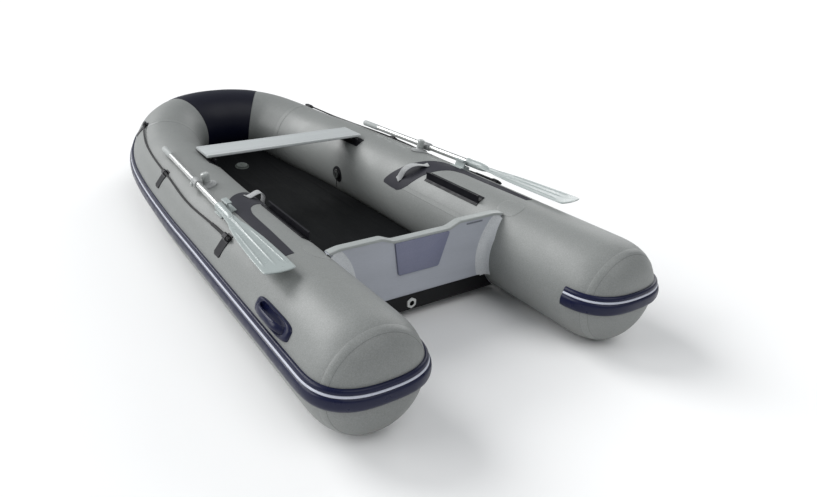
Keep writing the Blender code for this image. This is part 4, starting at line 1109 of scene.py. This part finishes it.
def valve_caps():
    """Screw cap with a grip bar across it and notches round its edge, and its ring."""
    joints = {joint["name"]: joint for joint in frame["joints"]}
    for word in ("port", "starboard", "floor"):
        on_floor = word == "floor"
        turn = joints[f"valve_cap_turn_{word}"]
        origin = Vector(turn["pos_m"]) + Vector((0.0, MIDSHIP, 0.0))
        place = frame_at(origin, turn["axis"], (0.0, 1.0, 0.0) if on_floor else (0.0, 0.0, 1.0))
        rest, flange = (0.0004, 0.045) if on_floor else (0.0022, 0.032)
        rim = flange - 0.0085
        ring = turned(f"valve_ring_{word}", [
            (rim + 0.0012, rest + 0.0050), (rim + 0.0012, rest + 0.0022),
            (0.0195, rest + 0.0020), (0.0195, rest - 0.002), (flange, rest - 0.002),
            (flange, rest + 0.0012), (flange - 0.0008, rest + 0.0034),
            (flange - 0.0025, rest + 0.0050),
        ], place, hollow=True)
        ring_look, cap_look = (FLOOR_CAP, FLOOR_CAP) if on_floor else (BLACK_PLASTIC, CAP_GREY)
        piece(f"valve_ring_{word}", ring, [ring_look], "hull")
        profile = (
            (0.0122, 0.001, 0), (0.0122, 0.0056, 0), (rim, 0.0056, 1), (rim, 0.0105, 1),
            (rim - 0.0012, 0.0122, 1), (rim - 0.0035, 0.0128, 0), (rim - 0.0065, 0.0112, 0),
            (rim - 0.0085, 0.0106, 0), (0.0030, 0.0106, 0),
        )
        rows = []
        for r, z, notch in profile:
            row = []
            for t in circle(96):
                reach = r - notch * 0.0009 * max(0.0, cos(16 * t)) ** 2
                row.append(place @ Vector((reach * cos(t), reach * sin(t), rest + z)))
            rows.append(row)
        disc = skin("cap_disc", rows, caps=True)
        long, wide = rim - 0.0095, 0.0032
        outline = rounded(((-long, -wide), (long, -wide), (long, wide), (-long, wide)), 0.0026)
        rows = []
        for z, k in ((0.0100, 1.0), (0.0124, 0.98), (0.0132, 0.90), (0.0134, 0.70)):
            shrink = 1 - (1 - k) * wide / long
            rows.append([place @ Vector((p.x * shrink, p.y * k, rest + z)) for p in outline])
        mesh = merged(f"cap_{word}", [disc, skin("cap_bar", rows, caps=True)])
        piece(f"cap_{word}", mesh, [cap_look], f"valve_cap_{word}",
              (f"valve_cap_{word}",))
        if not on_floor:
            tether(word, place, flange, rest)


def valve_patches():
    """Black doubler that follows the tube round each side valve."""
    rims = ((0.030, 0.0012), (0.036, 0.0014), (0.044, 0.0014), (0.0475, 0.0012), (0.0485, TUCK),
            (0.030, TUCK))
    for word, side in SIDES:
        rows = patch_rows(VALVE_STATION, VALVE_ANGLE, 1.0, 1.0, rims, side)
        shell(f"valve_patch_{word}", rows, [BLACK_RUBBER], "valve_black", loop=True)


def tether(word, place, flange, rest):
    """Short strap that hangs from the valve's ring."""
    line = ((-flange + 0.001, 0.0040), (-flange - 0.012, 0.0034), (-flange - 0.030, 0.0042),
            (-flange - 0.044, 0.0062))
    section = mm((-3.5, 0), (3.5, 0), (3.5, 1.2), (-3.5, 1.2))
    rows = [[place @ Vector((x, y, rest + z + t)) for y, t in section]
            for x, z in smooth_line(line, 5)]
    shell(f"valve_tether_{word}", rows, [BLACK_PLASTIC], "valve_black", caps=True)


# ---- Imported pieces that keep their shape

KEPT = {
    "bottom_fabric": BOTTOM, "transom_board": BOARD, "drain_plug": BLACK_PLASTIC,
    "valve_body": BLACK_PLASTIC, "valve_plunger": WHITE_PLASTIC, "seat_clip": GREY_PLASTIC,
    "seat_rail": BLACK_RUBBER, "rope_holder": BLACK_RUBBER, "oar_keeper": LIGHT_PLASTIC,
    "baffle": HULL,
}


def dress_kept_nodes():
    for name, obj in frame["nodes"].items():
        for start, look in KEPT.items():
            if name.startswith(start):
                for place in obj.material_slots:
                    place.material = look


# ---- Camera, light and floor

def camera():
    """Three-quarter view over the port quarter."""
    yaw, pitch, roll = -0.52550, 0.43360, 0.01756
    level = cos(pitch)
    back = Vector((sin(yaw) * level, -cos(yaw) * level, sin(pitch)))
    right = Vector((cos(yaw), sin(yaw), 0.0))
    up = back.cross(right)
    turned_right = cos(roll) * right + sin(roll) * up
    turned_up = cos(roll) * up - sin(roll) * right
    data = bpy.data.cameras.new("camera")
    data.sensor_width = 36.0
    data.lens = 27.81
    data.shift_x, data.shift_y = 0.0906, -0.0098
    data.clip_start, data.clip_end = 0.05, 200.0
    place = Matrix((turned_right, turned_up, back)).transposed().to_4x4()
    place.translation = Vector((-1.44906, -1.20869 - MIDSHIP, 1.40266))
    obj = placed("camera", data)
    obj.matrix_world = place
    bpy.context.scene.camera = obj


def daylight(name, towards, strength, spread):
    """Soft sun shining from a direction."""
    data = bpy.data.lights.new(name, "SUN")
    data.energy = strength
    data.angle = radians(spread)
    placed(name, data).matrix_world = frame_at((0.0, 0.0, 4.0), towards, (1.0, 0.0, 0.0))


def studio():
    """Pale floor, even sky and four soft suns."""
    bm = bmesh.new()
    bmesh.ops.create_grid(bm, x_segments=1, y_segments=1, size=60.0)
    mesh = mesh_of("studio_floor", bm)
    look = Look("studio_floor_look", (0.90, 0.90, 0.90), 0.9)
    mesh.materials.append(look.vary(0.8, 0.01).done())
    ground = placed("studio_floor", mesh)
    ground.location.z = -0.0005
    world = bpy.data.worlds.new("studio_world")
    world.use_nodes = True
    background = world.node_tree.nodes["Background"]
    background.inputs["Color"].default_value = (0.93, 0.97, 1.0, 1.0)
    background.inputs["Strength"].default_value = 0.33
    bpy.context.scene.world = world
    bpy.context.scene.view_settings.view_transform = "Standard"
    daylight("key", (-0.50, 1.0, 0.85), 2.0, 34.0)
    daylight("left", (-1.0, 0.40, 0.50), 1.15, 34.0)
    daylight("right", (1.0, 0.45, 0.50), 0.8, 40.0)
    daylight("aft", (0.2, -0.8, 1.2), 0.85, 50.0)


camera()
studio()
hull_panels()
tapes()
bow_patch()
chafe_patches()
strap_handles()
strakes()
floor_mat()
cap_strip()
board_fittings()
drain_ring()
flanges()
flange_patches()
seat_board()
lifting_handles()
ropes()
oars()
valve_caps()
valve_patches()
dress_kept_nodes()
